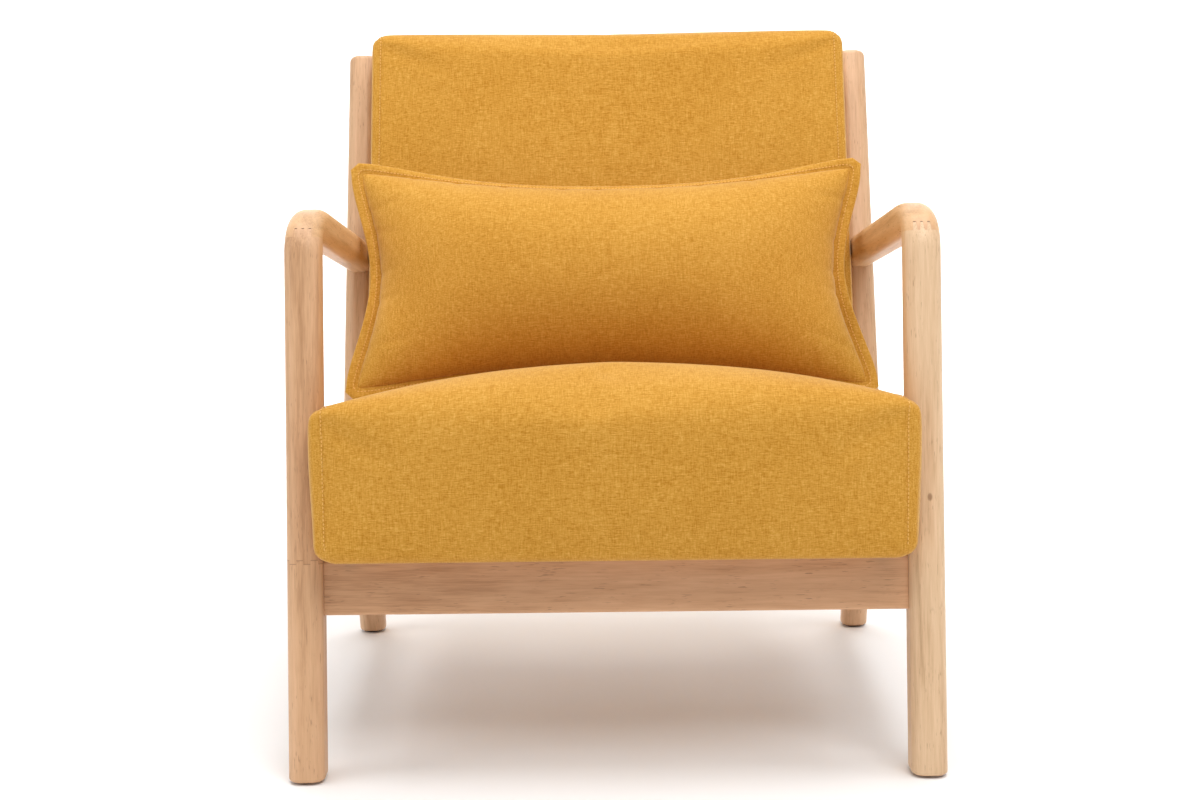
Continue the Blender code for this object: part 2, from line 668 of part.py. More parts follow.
def build_back():
    half = CUSHION_HALF_W
    bm = cushion_cage((-half, BACK_FRONT, BACK_LOW), (half, BACK_REAR, BACK_TOP), CUSHION_R,
                      BACK_CUTS)
    open_below(bm, 2, BACK_LOW)
    cover = finish(bm, "back_cover", "fabric", BACK_FRAME)
    make_shell(cover)

    wide, front, rear = BATTEN_HALF_W, BACK_BATTEN_FRONT, BACK_BATTEN_REAR
    inner = wide - BACK_BATTEN_W
    low, high = BACK_BATTEN_LOW, BACK_BATTEN_TOP
    cross = inner - GAP
    battens = {
        "left": ((-wide, front, low), (-inner, rear, high)),
        "right": ((inner, front, low), (wide, rear, high)),
        "top": ((-cross, front, high - BACK_CROSS_W), (cross, rear, high)),
        "bottom": ((-cross, front, low), (cross, rear, low + BACK_CROSS_W)),
    }
    made = {name: box(f"back_batten_{name}", *corners, "inner_wood", BACK_FRAME)
            for name, corners in battens.items()}

    strap_rear = front - GAP
    pitch = (high - low - 2 * BACK_CROSS_W) / BACK_STRAPS
    for i in range(BACK_STRAPS):
        z = low + BACK_CROSS_W + pitch * (i + 0.5)
        box(f"back_strap_{i + 1}", (-wide + STRAP_INSET, strap_rear - STRAP_T, z - STRAP_W / 2),
            (wide - STRAP_INSET, strap_rear, z + STRAP_W / 2), "webbing", BACK_FRAME)

    inset = FOAM_INSET
    bm = cushion_cage((-half + inset, BACK_FRONT + inset, BACK_LOW + inset),
                      (half - inset, strap_rear - STRAP_T - GAP, BACK_TOP - inset),
                      CUSHION_R - inset, BACK_CUTS)
    finish(bm, "back_foam", "foam", BACK_FRAME)
    return made, cover


def build_back_bolts(sides, battens, cover):
    """Two bolts a side, through the post and the cover into the back's side batten."""
    y = (BACK_BATTEN_FRONT + BACK_BATTEN_REAR) / 2
    face = MEMBER_X + MEMBER_W / 2 - BOLT_SUNK
    for word, side in SIDES.items():
        for row, z in BACK_BOLT_Z.items():
            name = f"back_bolt_{row}_{word}"
            head_x = side * face
            under_head, tip = add_bolt(name, head_x, BACK_BOLT_LEN, y, z, BACK_FRAME)
            bolt_holes([sides[word]["post"], cover, battens[word]], name, head_x, under_head,
                       tip, y, z, BACK_FRAME)


# ---------------------------------------------------------------- pillow

def pillow_form(inset):
    """A plump pillow: thick in the middle, thin at its edge, its sides drawn in."""
    size = Vector((PILLOW_HALF_W, PILLOW_HALF_T, PILLOW_HALF_H)) - Vector((inset,) * 3)
    bm = bmesh.new()
    bmesh.ops.create_cube(bm, size=2)
    bmesh.ops.subdivide_edges(bm, edges=bm.edges, cuts=PILLOW_CUTS, use_grid_fill=True)
    edge = (PILLOW_EDGE_T - inset) / size.y
    for vert in bm.verts:
        x, y, z = (math.sin(c * math.pi / 2) for c in vert.co)
        swell = ((1 - x ** 4) * (1 - z ** 4)) ** PILLOW_FULLNESS
        vert.co.x = x * size.x * (1 - PILLOW_WAIST * (1 - z * z))
        vert.co.y = y * size.y * (edge + (1 - edge) * swell)
        vert.co.z = z * size.z * (1 - PILLOW_WAIST * (1 - x * x))
    return bm


def build_pillow():
    place = (0, *PILLOW_CENTRE)
    bm = pillow_form(0)
    lowest = [f for f in bm.faces
              if f.calc_center_median().z < -PILLOW_HALF_H * (1 - PILLOW_WAIST) * 0.985
              and abs(f.normal.z) > 0.9 and abs(f.calc_center_median().x) < ZIP_HALF_W
              and abs(f.calc_center_median().y) < PILLOW_EDGE_T / 3]
    bmesh.ops.delete(bm, geom=lowest, context="FACES")
    make_shell(finish(bm, "pillow_cover", "fabric", BACK_FRAME, place))
    finish(pillow_form(FOAM_INSET), "pillow_insert", "fill", BACK_FRAME, place)


# ---------------------------------------------------------------- the chair

clear_scene()
PARTS = make_collection("wooden_armchair")
CUTTERS = make_collection("cutters")
MATERIALS = make_materials()
SIDE_FRAME = make_empty("side_frame", (0, -DEPTH_CENTRE, 0), LEAN)
BACK_FRAME = make_empty("back_frame", (0, POST_REF[0] - DEPTH_CENTRE, POST_REF[1]), RECLINE)

FLOOR = box("floor_cut", (-ROOM, -ROOM, -ROOM), (ROOM, ROOM, GLIDE_H + GAP), None)
POST_SHADOW = box("post_shadow", (-ROOM, MEMBER_D / 2, -ROOM), (ROOM, ROOM, ROOM), None,
                  BACK_FRAME)
side_pieces = {word: build_side(word, side, FLOOR) for word, side in SIDES.items()}
build_glides()
front_rail, rear_rail, rails = build_rails(side_pieces)
build_rail_bolts(front_rail, rear_rail, side_pieces, rails)
build_dowels(side_pieces, rails)
seat_battens, dust_cover = build_seat()
build_seat_screws(front_rail, rear_rail, seat_battens, dust_cover)
back_battens, back_cover = build_back()
build_back_bolts(side_pieces, back_battens, back_cover)
build_pillow()
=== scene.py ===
"""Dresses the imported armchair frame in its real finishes: oiled wood members with fine rounding and
finger joints, stuffed seat, back and lumbar pillow in a mustard weave, stitching, feet and bolts.

Lengths are metres. The chair faces -Y. Two tilted sets of axes are used besides the world's:
the side axes lean back with the front legs, the back axes lean back with the rear posts. In both,
y runs back and z runs up along the tilted member, and they turn about the world's origin.
"""
import json
import math
import random

import bmesh
import bpy
import numpy as np
from bpy.props import FloatProperty, FloatVectorProperty, IntProperty, PointerProperty
from mathutils import Matrix, Vector, kdtree
from mathutils.bvhtree import BVHTree


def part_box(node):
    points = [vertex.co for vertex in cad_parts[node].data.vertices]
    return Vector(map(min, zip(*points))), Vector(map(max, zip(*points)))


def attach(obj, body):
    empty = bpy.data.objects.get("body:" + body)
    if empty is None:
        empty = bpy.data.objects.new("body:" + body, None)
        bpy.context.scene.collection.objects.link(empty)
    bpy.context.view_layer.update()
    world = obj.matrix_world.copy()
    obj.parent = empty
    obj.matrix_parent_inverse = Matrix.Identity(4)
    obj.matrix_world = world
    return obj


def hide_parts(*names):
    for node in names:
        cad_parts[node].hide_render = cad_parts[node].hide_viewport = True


bl_info = {
    "name": "Lounge Armchair",
    "version": (1, 0, 0),
    "blender": (4, 5, 0),
    "location": "3D View > Sidebar > Armchair",
    "description": "Builds the wood, cushions, stitching and stage of a lounge armchair",
    "category": "Add Mesh",
}

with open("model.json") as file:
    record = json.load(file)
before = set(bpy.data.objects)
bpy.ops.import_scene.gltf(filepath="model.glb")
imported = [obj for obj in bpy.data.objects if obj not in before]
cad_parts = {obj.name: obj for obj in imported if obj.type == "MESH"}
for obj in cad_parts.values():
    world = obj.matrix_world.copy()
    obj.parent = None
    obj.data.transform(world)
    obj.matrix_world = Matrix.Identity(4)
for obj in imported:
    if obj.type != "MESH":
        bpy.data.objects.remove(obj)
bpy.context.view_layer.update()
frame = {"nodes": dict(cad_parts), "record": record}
SIDES = {"left": -1, "right": 1}
CLEARANCE = 0.0003      # left between a member and its glide
COPE_GAP = 0.0002       # left round a member that another is cut to fit
FOOT_ROUND = 0.003
TOP_ROUND = 0.007
FACE_ON = 0.75          # a normal's share along an axis that makes a face point that way
SEAM_STEP = 0.0015      # spacing of the points that a pressed seam follows


# ---------------------------------------------------------------- places taken from the frame

def box_centre(node):
    low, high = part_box(node)
    return (low + high) / 2


def tilt_matrix(tilt):
    """Turns tilted axes into the world's."""
    return Matrix.Rotation(-tilt, 4, "X")


def tilted_box(node, tilt):
    """Lowest and highest corner of a CAD node, measured in tilted axes."""
    co = np.array([v.co for v in frame["nodes"][node].data.vertices])
    turn = np.array(tilt_matrix(tilt).to_3x3().inverted())
    turned = co @ turn.T
    return Vector(turned.min(0)), Vector(turned.max(0))


# ---------------------------------------------------------------- settings

def length(name, description, default, low=0.0):
    return FloatProperty(name=name, description=description, default=default, min=low,
                         subtype="DISTANCE", unit="LENGTH", precision=4)


def exact(value):
    """A single-precision setting as the number that was typed."""
    return round(value, 6)


def colour(name, description, default):
    return FloatVectorProperty(name=name, description=description, default=default, size=3,
                               subtype="COLOR", min=0, max=1)


def ratio(name, description, default):
    return FloatProperty(name=name, description=description, default=default, min=0.0, max=1.0,
                         subtype="FACTOR")


def angle(name, description, degrees):
    return FloatProperty(name=name, description=description, default=math.radians(degrees),
                         subtype="ANGLE", unit="ROTATION")


class FrameSettings(bpy.types.PropertyGroup):
    lean: angle("Lean", "How far the front legs lean back", 8.5)
    recline: angle("Recline", "How far the rear posts lean back", 20.95)
    edge_round: length("Edge radius", "Rounding of the members' long edges", 0.0145)
    rail_round: length("Rail edge radius", "Rounding of the rails' edges", 0.003)
    elbow_drop: length("Elbow drop", "Where the elbow's curve starts, below the arm's top", 0.059)
    elbow_run: length("Elbow run", "Where the elbow's curve ends, along the arm", 0.125)
    knee_height: length("Knee height", "Height of the bend in the rear posts", 0.300)
    knee_round: length("Knee rounding", "Half length of the rear posts' bend", 0.055)
    finger_pitch: length("Finger pitch", "Spacing of the finger joint", 0.0073)
    finger_height: length("Finger height", "Length of the joint's fingers", 0.009)
    segments: IntProperty(name="Rounding steps", description="Faces across a rounded edge",
                          default=9, min=2, max=24)
    member_depth: length("Member depth", "Front legs and posts, front to back", 0.048)


class WoodSettings(bpy.types.PropertyGroup):
    left_leg: colour("Left leg", "Main tone of the left leg", (0.61, 0.355, 0.19))
    right_leg: colour("Right leg", "Main tone of the paler right leg", (0.67, 0.45, 0.265))
    arms: colour("Arms", "Main tone of the arms", (0.63, 0.375, 0.185))
    posts: colour("Posts", "Main tone of the posts", (0.62, 0.38, 0.215))
    rails: colour("Rails", "Main tone of the darker rails", (0.61, 0.335, 0.175))
    end: colour("End grain", "Tone where the grain is cut across", (0.56, 0.31, 0.17))
    pore: colour("Pores", "Dark ends of the pores", (0.24, 0.115, 0.05))
    inner: colour("Inner wood", "Unfinished wood inside the cushions", (0.62, 0.45, 0.27))


class ClothSettings(bpy.types.PropertyGroup):
    light: colour("Light yarn", "Pale flecks of the weave", (0.66, 0.36, 0.075))
    base: colour("Base yarn", "Main tone of the weave", (0.545, 0.265, 0.036))
    dark: colour("Dark yarn", "Deep flecks of the weave", (0.43, 0.185, 0.016))
    thread_pitch: length("Thread pitch", "Spacing of the woven threads", 0.0014)
    voxel: length("Voxel", "Cell size of the remeshed cushions", 0.005)
    stitch_pitch: length("Stitch pitch", "Spacing of the visible stitches", 0.0042)
    stitch_inset: length("Stitch inset", "From a seam to its row of stitches", 0.0065)
    seat_crown: length("Seat crown", "Rise of the seat's middle over its sides", 0.043)
    seat_swell: length("Seat swell", "How far the seat's front corners pass the legs", 0.009)
    seat_height: length("Seat height", "Height of the seat cushion's sides", 0.162)
    seat_slope: ratio("Seat rear slope", "Lean of the seat's rear face, for its height", 0.2205)
    seat_rear_crown: ratio("Rear crown", "Share of the crown that is left at the rear", 0.2)
    pillow_width: length("Pillow width", "From seam to seam", 0.6094)
    pillow_height: length("Pillow height", "From seam to seam", 0.275)
    pillow_fill: length("Pillow filling", "Half the thickness of the stuffed pillow", 0.073)
    pillow_give: length("Pillow give", "How far the pillow's cloth settles", 0.0035)
    pillow_drop: length("Pillow drop", "How far the pillow sits into the seat's crown", 0.0025)
    pillow_bow: length("Pillow side bow", "How far the pillow's ends draw in", 0.026)
    pillow_dip: length("Pillow dip", "How far the pillow's long edges draw in", 0.026)
    pillow_flange: length("Pillow flange", "Width of the pillow's flat stitched edge", 0.0120)


class StageSettings(bpy.types.PropertyGroup):
    camera_back: length("Camera distance", "From the front feet to the camera", 2.0237)
    camera_height: length("Camera height", "Height of the camera", 0.6875)
    camera_shift: length("Camera offset", "Camera left of the middle", 0.0148)
    camera_lens: FloatProperty(name="Lens", description="Focal length in millimetres",
                               default=60.5, unit="CAMERA")
    camera_pitch: angle("Pitch", "How far the camera looks down", 8.0)
    camera_roll: angle("Roll", "Turn of the camera about its own axis", -0.65)
    sky: FloatProperty(name="Sky", description="Brightness of the even light", default=0.30,
                       min=0.0)
    floor: colour("Floor", "Colour of the floor and backdrop", (0.93, 0.93, 0.93))


GROUPS = {"chair_frame": FrameSettings, "chair_wood": WoodSettings,
          "chair_cloth": ClothSettings, "chair_stage": StageSettings}


# ---------------------------------------------------------------- shader graph

class Value:
    """A node's output. Arithmetic on it adds Math nodes."""

    def __init__(self, graph, socket):
        self.graph = graph
        self.socket = socket

    def _maths(self, operation, first, second):
        return self.graph.node("Math", {"operation": operation}, {0: first, 1: second})

    def __add__(self, other):
        return self._maths("ADD", self, other)

    def __sub__(self, other):
        return self._maths("SUBTRACT", self, other)

    def __rsub__(self, other):
        return self._maths("SUBTRACT", other, self)

    def __mul__(self, other):
        return self._maths("MULTIPLY", self, other)

    __radd__ = __add__
    __rmul__ = __mul__


class Graph:
    """One material: its nodes are added through node(), and its constants sit on the shader."""

    def __init__(self, name, **constants):
        self.material = bpy.data.materials.new(name)
        self.material.use_nodes = True
        self.tree = self.material.node_tree
        self.shader = self.tree.nodes["Principled BSDF"]
        for socket, value in constants.items():
            self.shader.inputs[socket.replace("_", " ")].default_value = value

    def node(self, kind, settings=None, inputs=None, output=0):
        made = self.tree.nodes.new("ShaderNode" + kind)
        for key, value in (settings or {}).items():
            if key == "stops":
                set_stops(made.color_ramp, value)
            else:
                setattr(made, key, value)
        for key, value in (inputs or {}).items():
            self.join(made.inputs[key], value)
        return Value(self, made.outputs[output])

    def join(self, socket, value):
        if isinstance(value, Value):
            self.tree.links.new(value.socket, socket)
        elif isinstance(value, (int, float)):
            socket.default_value = value
        else:
            given = tuple(value)
            socket.default_value = given + (1.0,) * (len(socket.default_value) - len(given))

    def shade(self, socket, value):
        self.join(self.shader.inputs[socket], value)

    def stretch(self, vector, scale, offset=(0, 0, 0)):
        moved = self.node("VectorMath", {"operation": "ADD"}, {0: vector, 1: offset})
        return self.node("VectorMath", {"operation": "MULTIPLY"}, {0: moved, 1: scale})

    def noise(self, vector, detail=2.0, roughness=0.5, distortion=0.0):
        return self.node("TexNoise", {}, {"Vector": vector, "Scale": 1.0, "Detail": detail,
                                          "Roughness": roughness, "Distortion": distortion})

    def mix(self, factor, first, second):
        return self.node("Mix", {"data_type": "RGBA", "clamp_factor": True},
                         {0: factor, 6: first, 7: second}, 2)

    def ramp(self, value, stops):
        return self.node("ValToRGB", {"stops": stops}, {0: value})

    def step(self, value, low, high):
        return self.node("MapRange", {"interpolation_type": "SMOOTHSTEP"},
                         {"Value": value, "From Min": low, "From Max": high})

    def bump(self, height, distance, strength=1.0):
        made = self.node("Bump", {}, {"Height": height, "Distance": distance,
                                      "Strength": strength})
        self.shade("Normal", made)

    def parts(self, vector):
        made = self.tree.nodes.new("ShaderNodeSeparateXYZ")
        self.join(made.inputs[0], vector)
        return [Value(self, out) for out in made.outputs]


def set_stops(ramp, stops):
    while len(ramp.elements) < len(stops):
        ramp.elements.new(0.5)
    for element, (place, shade) in zip(ramp.elements, stops):
        element.position = place
        element.color = tuple(shade)[:3] + (1.0,)


# ---------------------------------------------------------------- materials

def wood_material(name, tone, seed, run, joint=None, knot=None):
    """Satin wood. The grain runs along y of the mesh's "grain" coordinates, which is the
    direction run in the object's own axes. A joint is a glue line across the grain at that
    place along it; a knot is a small dark eye at (across, along)."""
    wood = bpy.context.scene.chair_wood
    g = Graph(name, Coat_Weight=0.10, Coat_Roughness=0.35, Specular_IOR_Level=0.4)
    place = g.node("Attribute", {"attribute_name": "grain"}, {}, "Vector")
    across, along, depth = g.parts(place)
    line = None
    if joint is not None:
        jog = g.step(g.node("Math", {"operation": "SINE"}, {0: across * 420}), -0.1, 0.1)
        past = along + jog * 0.004 - joint
        line = 1 - g.step(past * past, 0, 0.0007 ** 2)
        above = g.step(past, -0.0001, 0.0001)
        place = g.node("CombineXYZ", {}, {0: across + above * 0.7, 1: along + above * 0.9,
                                          2: depth})
    normal = g.node("TexCoord", {}, {}, "Normal")
    facing = g.node("VectorMath", {"operation": "DOT_PRODUCT"}, {0: normal, 1: run}, "Value")
    end = g.step(facing * facing, 0.25, 0.8)
    shift = (seed * 0.37, seed * 0.83, seed * 0.59)
    bands = g.noise(g.stretch(place, (30, 2.6, 30), shift), 3, 0.6, 0.7)
    streaks = g.noise(g.stretch(place, (190, 12, 190), shift), 3, 0.62, 0.3)
    fine = g.noise(g.stretch(place, (900, 34, 900), shift), 2, 0.6)
    cells = g.noise(g.stretch(place, (1050, 85, 1050), shift), 1, 0.4)
    patch = g.noise(g.stretch(place, (60, 30, 60), shift), 2)
    pores = g.step(cells, 0.64, 0.74) * g.step(patch, 0.42, 0.60)
    value = bands * 0.46 + streaks * 0.30 + fine * 0.24
    deep = tuple(c * k for c, k in zip(tone, (0.74, 0.67, 0.60)))
    pale = tuple(min(c * k, 1.0) for c, k in zip(tone, (1.14, 1.19, 1.27)))
    shade = g.ramp(value, [(0.36, deep), (0.49, tone), (0.63, pale)])
    shade = g.mix(pores * 0.55, shade, wood.pore)
    shade = g.mix(end * 0.8, shade, wood.end)
    if knot:
        aside = (across - knot[0]) * (1 / 0.0022)
        away = (along - knot[1]) * (1 / 0.0034)
        eye = 1 - g.step(aside * aside + away * away, 0.2, 2.2)
        shade = g.mix(eye * 0.7, shade, wood.pore)
    if line:
        shade = g.mix(line * 0.55, shade, wood.pore)
    g.shade("Base Color", shade)
    g.shade("Roughness", 0.42 + streaks * 0.12 + pores * 0.2)
    g.bump(fine * 0.35 - pores, 0.00015, 0.6)
    return g.material


def inner_wood_material():
    """Plain sawn wood for the battens inside the cushions."""
    wood = bpy.context.scene.chair_wood
    g = Graph("inner_wood_sawn", Specular_IOR_Level=0.3)
    place = g.node("TexCoord", {}, {}, "Object")
    streaks = g.noise(g.stretch(place, (6, 160, 160)), 3, 0.6)
    saw = g.noise(g.stretch(place, (700, 60, 60)), 1)
    g.shade("Base Color", g.ramp(streaks, [(0.3, wood.end), (0.55, wood.inner),
                                           (0.75, wood.right_leg)]))
    g.shade("Roughness", 0.7 + saw * 0.2)
    g.bump(streaks + saw * 0.5, 0.0003)
    return g.material


def cloth_material(name="mustard_weave", lift=0.0):
    """Linen-look weave with fine pale and deep flecks along both thread directions."""
    cloth = bpy.context.scene.chair_cloth
    g = Graph(name, Specular_IOR_Level=0.15, Sheen_Weight=0.30, Sheen_Roughness=0.4,
              Sheen_Tint=(1.0, 0.88, 0.66, 1.0))
    place = g.node("TexCoord", {}, {}, "Object")
    normal = g.node("TexCoord", {}, {}, "Normal")
    weft = g.noise(g.stretch(place, (130, 900, 900)), 2, 0.6)
    warp = g.noise(g.stretch(place, (900, 110, 110), (3.1, 1.7, 5.3)), 2, 0.6)
    fleck = g.noise(g.stretch(place, (420, 900, 900)), 2, 0.7)
    cloud = g.noise(g.stretch(place, (9, 9, 9)), 2)
    tone = weft * 0.80 + warp * 0.60 + fleck * 0.50 + cloud * 0.2 - 0.55 + lift
    shade = g.ramp(tone, [(0.28, cloth.dark), (0.50, cloth.base), (0.76, cloth.light)])
    g.shade("Base Color", shade)
    g.shade("Roughness", 0.82 + weft * 0.12)
    turns = 2 * math.pi / cloth.thread_pitch
    threads = None
    for along, facing in zip(g.parts(place), g.parts(normal)):
        wave = g.node("Math", {"operation": "SINE"}, {0: along * turns})
        flat = facing * facing
        line = wave * (1 - flat) + flat
        threads = line if threads is None else threads * line
    g.bump(threads * 0.45 + weft * 0.5 + warp * 0.5 + fleck * 0.4, 0.0004, 0.35)
    return g.material


def thread_material():
    """Slightly shiny sewing thread, twisted."""
    cloth = bpy.context.scene.chair_cloth
    g = Graph("mustard_thread", Specular_IOR_Level=0.4, Sheen_Weight=0.2)
    place = g.node("TexCoord", {}, {}, "Object")
    twist = g.noise(g.stretch(place, (900, 900, 900)), 1)
    g.shade("Base Color", g.mix(twist, cloth.light, tuple(c * 1.25 for c in cloth.light)))
    g.shade("Roughness", 0.45 + twist * 0.2)
    g.bump(twist, 0.0002)
    return g.material


def speckled_material(name, shade, roughness, metallic=0.0, size=300, spread=0.25, relief=0.0002,
                      stretch=(1, 1, 1)):
    """A finish with fine speckle: foam, black cloth, plastic, plated steel."""
    g = Graph(name, Specular_IOR_Level=0.4)
    g.shader.inputs["Metallic"].default_value = metallic
    place = g.node("TexCoord", {}, {}, "Object")
    scale = tuple(size * s for s in stretch)
    speck = g.noise(g.stretch(place, scale), 3, 0.6)
    wear = g.noise(g.stretch(place, (20, 20, 20)), 2)
    darker = tuple(c * (1 - spread) for c in shade)
    lighter = tuple(min(c * (1 + spread), 1.0) for c in shade)
    g.shade("Base Color", g.mix(g.step(speck * 0.7 + wear * 0.3, 0.35, 0.65), darker, lighter))
    g.shade("Roughness", roughness + (wear - 0.5) * 0.2)
    g.bump(speck, relief)
    return g.material


# ---------------------------------------------------------------- mesh helpers

def new_object(name, bm, material, matrix=None, smooth=35):
    bmesh.ops.recalc_face_normals(bm, faces=bm.faces)
    mesh = bpy.data.meshes.new(name)
    bm.to_mesh(mesh)
    bm.free()
    obj = bpy.data.objects.new(name, mesh)
    bpy.context.scene.collection.objects.link(obj)
    if matrix:
        obj.matrix_world = matrix
    if material:
        mesh.materials.append(material)
    mesh.shade_smooth()
    mesh.set_sharp_from_angle(angle=math.radians(smooth))
    return obj


def bake_modifiers(obj):
    """Replaces the mesh by what its modifiers make of it."""
    bpy.context.view_layer.update()
    graph = bpy.context.evaluated_depsgraph_get()
    mesh = bpy.data.meshes.new_from_object(obj.evaluated_get(graph))
    old = obj.data
    obj.modifiers.clear()
    obj.data = mesh
    bpy.data.meshes.remove(old)


def carve(obj, cutter, operation="DIFFERENCE"):
    """Cuts obj with a cutter object, which is then removed."""
    modifier = obj.modifiers.new("cut", "BOOLEAN")
    modifier.operation = operation
    modifier.object = cutter
    modifier.solver = "EXACT"
    bake_modifiers(obj)
    bpy.data.objects.remove(cutter, do_unlink=True)


def bezier(start, corner, end, steps):
    """Points of a quadratic curve from start to end, pulled to the corner."""
    points = []
    for i in range(steps + 1):
        q = i / steps
        points.append(tuple((1 - q) ** 2 * a + 2 * q * (1 - q) * b + q * q * c
                            for a, b, c in zip(start, corner, end)))
    return points


def towards(start, end, distance):
    return tuple(Vector(start) + (Vector(end) - Vector(start)).normalized() * distance)


def crossing(a, b, c, d):
    """Where the line through a and b meets the line through c and d, in the plane."""
    r, s = b - a, d - c
    return a + r * ((c - a).cross(s) / r.cross(s))


def prism(points, lift):
    """A flat face through the points, pushed along lift into a solid."""
    bm = bmesh.new()
    face = bm.faces.new([bm.verts.new(p) for p in points])
    grown = bmesh.ops.extrude_face_region(bm, geom=[face])["geom"]
    moved = [v for v in grown if isinstance(v, bmesh.types.BMVert)]
    bmesh.ops.translate(bm, verts=moved, vec=lift)
    bmesh.ops.recalc_face_normals(bm, faces=bm.faces)
    return bm


def rounded_slab(outline, half, radius, segments, is_end):
    """A plate across X whose long edges are rounded; its ends stay square."""
    bm = prism([(-half, y, z) for y, z in outline], (2 * half, 0, 0))
    edges = []
    for edge in bm.edges:
        a, b = (v.co for v in edge.verts)
        on_face = abs(abs(a.x) - half) < 1e-6 and abs(a.x - b.x) < 1e-6
        if on_face and not (is_end(a) and is_end(b)):
            edges.append(edge)
    bmesh.ops.bevel(bm, geom=edges, offset=radius, offset_type="OFFSET", segments=segments,
                    profile=0.5, affect="EDGES", clamp_overlap=False)
    return bm


def trim(bm, point, outward, radius, segments=3):
    """Cuts off what lies beyond a plane, closes the cut and rounds its edge."""
    geom = bm.verts[:] + bm.edges[:] + bm.faces[:]
    cut = bmesh.ops.bisect_plane(bm, geom=geom, plane_co=point, plane_no=outward,
                                 clear_outer=True, dist=1e-6)["geom_cut"]
    rim = [e for e in cut if isinstance(e, bmesh.types.BMEdge)]
    bmesh.ops.holes_fill(bm, edges=rim, sides=0)
    if radius:
        rim = [e for e in rim if e.is_valid]
        bmesh.ops.bevel(bm, geom=rim, offset=radius, segments=segments, profile=0.5,
                        affect="EDGES", clamp_overlap=False)


def turned(profile, sides=32):
    """A turned solid about +Z from (radius, z) pairs, bottom to top."""
    bm = bmesh.new()
    rings = [bmesh.ops.create_circle(bm, radius=r, segments=sides,
                                     matrix=Matrix.Translation((0, 0, z)))["verts"]
             for r, z in profile]
    for low, high in zip(rings, rings[1:]):
        for i in range(sides):
            j = (i + 1) % sides
            bm.faces.new((low[i], low[j], high[j], high[i]))
    bm.faces.new(list(reversed(rings[0])))
    bm.faces.new(rings[-1])
    return bm


def paint(obj, material):
    obj.data.materials.clear()
    obj.data.materials.append(material)


def put(obj, body, slot, *nodes):
    """Hangs a finished piece on the body that it rides on and hides the frame nodes that it stands
    for; the slot is not used.
    """
    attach(obj, body)
    if nodes:
        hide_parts(*nodes)
    return obj


def set_grain(obj, along, centre=(0, 0, 0)):
    """Stores grain coordinates (across, along the grain, depth) and smooths the shading.

    along is an axis of the mesh, or a function that gives the coordinates of a point.
    """
    mesh = obj.data
    grain = mesh.attributes.new("grain", "FLOAT_VECTOR", "POINT")
    for vert in mesh.vertices:
        p = vert.co - Vector(centre)
        if callable(along):
            coords = along(p)
        else:
            coords = (p.x, p[along], p[3 - along]) if along else (p.y, p.x, p.z)
        grain.data[vert.index].vector = coords
    mesh.shade_smooth()
    mesh.set_sharp_from_angle(angle=math.radians(32))
    weighted = obj.modifiers.new("flat faces", "WEIGHTED_NORMAL")
    weighted.keep_sharp = True
    bake_modifiers(obj)


# ---------------------------------------------------------------- the wooden members

class SideShape:
    """The leaning leg and arm of one side, measured from the frame in side axes."""

    def __init__(self, settings):
        self.s = settings
        self.tilt = settings.lean
        leg_low, leg_high = tilted_box("front_leg_left", self.tilt)
        arm_low, arm_high = tilted_box("arm_left", self.tilt)
        self.front = leg_low.y
        self.half = (leg_high.x - leg_low.x) / 2
        self.top = arm_high.z
        self.under = arm_low.z
        self.depth = settings.member_depth
        self.base = leg_low.z - 0.03
        self.reach = arm_high.y + 0.05
        self.matrix = tilt_matrix(self.tilt)
        self.glide_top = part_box("glide_front_left")[1].z

    def solid(self, name, side, grow=0.0):
        f, r = self.front - grow, self.front + self.depth + grow
        u, t = self.under - grow, self.top + grow
        fillet = 0.008
        inner = bezier((r, u - fillet), (r, u), (r + fillet, u), 5)
        outer = bezier((f + self.s.elbow_run, t), (f, t), (f, t - self.s.elbow_drop), 22)
        outline = ([(f, self.base), (r, self.base)] + inner
                   + [(self.reach, u), (self.reach, t)] + outer)
        bm = rounded_slab(outline, self.half + grow, self.s.edge_round + grow, self.s.segments,
                          lambda p: p.z < self.base + 1e-4 or p.y > self.reach - 1e-4)
        if not grow:
            floor = self.matrix.inverted() @ Vector((0, 0, self.glide_top + CLEARANCE))
            down = self.matrix.inverted().to_3x3() @ Vector((0, 0, -1))
            trim(bm, floor, down, FOOT_ROUND, 4)
        return new_object(name, bm, None, self.place(side))

    def place(self, side):
        return Matrix.Translation((side * box_centre("front_leg_right").x, 0, 0)) @ self.matrix

    def fingers(self, name, side, shrink, tip_room=0.0):
        """The comb of tapered fingers that parts the leg from the arm."""
        wide, narrow = 0.0046 / 2 - shrink, 0.0026 / 2 - shrink
        reach = self.half * 2
        root = self.under - shrink
        tip = root + self.s.finger_height + tip_room
        outline = [(-reach, self.base - reach), (reach, self.base - reach), (reach, root)]
        for step in (1, 0, -1):
            c = side * -0.0014 + step * self.s.finger_pitch
            outline += [(c + wide, root), (c + narrow, tip), (c - narrow, tip), (c - wide, root)]
        outline.append((-reach, root))
        bm = prism([(x, self.front - reach, z) for x, z in outline],
                   (0, reach + self.depth + 0.008 - shrink, 0))
        return new_object(name, bm, None, self.place(side))


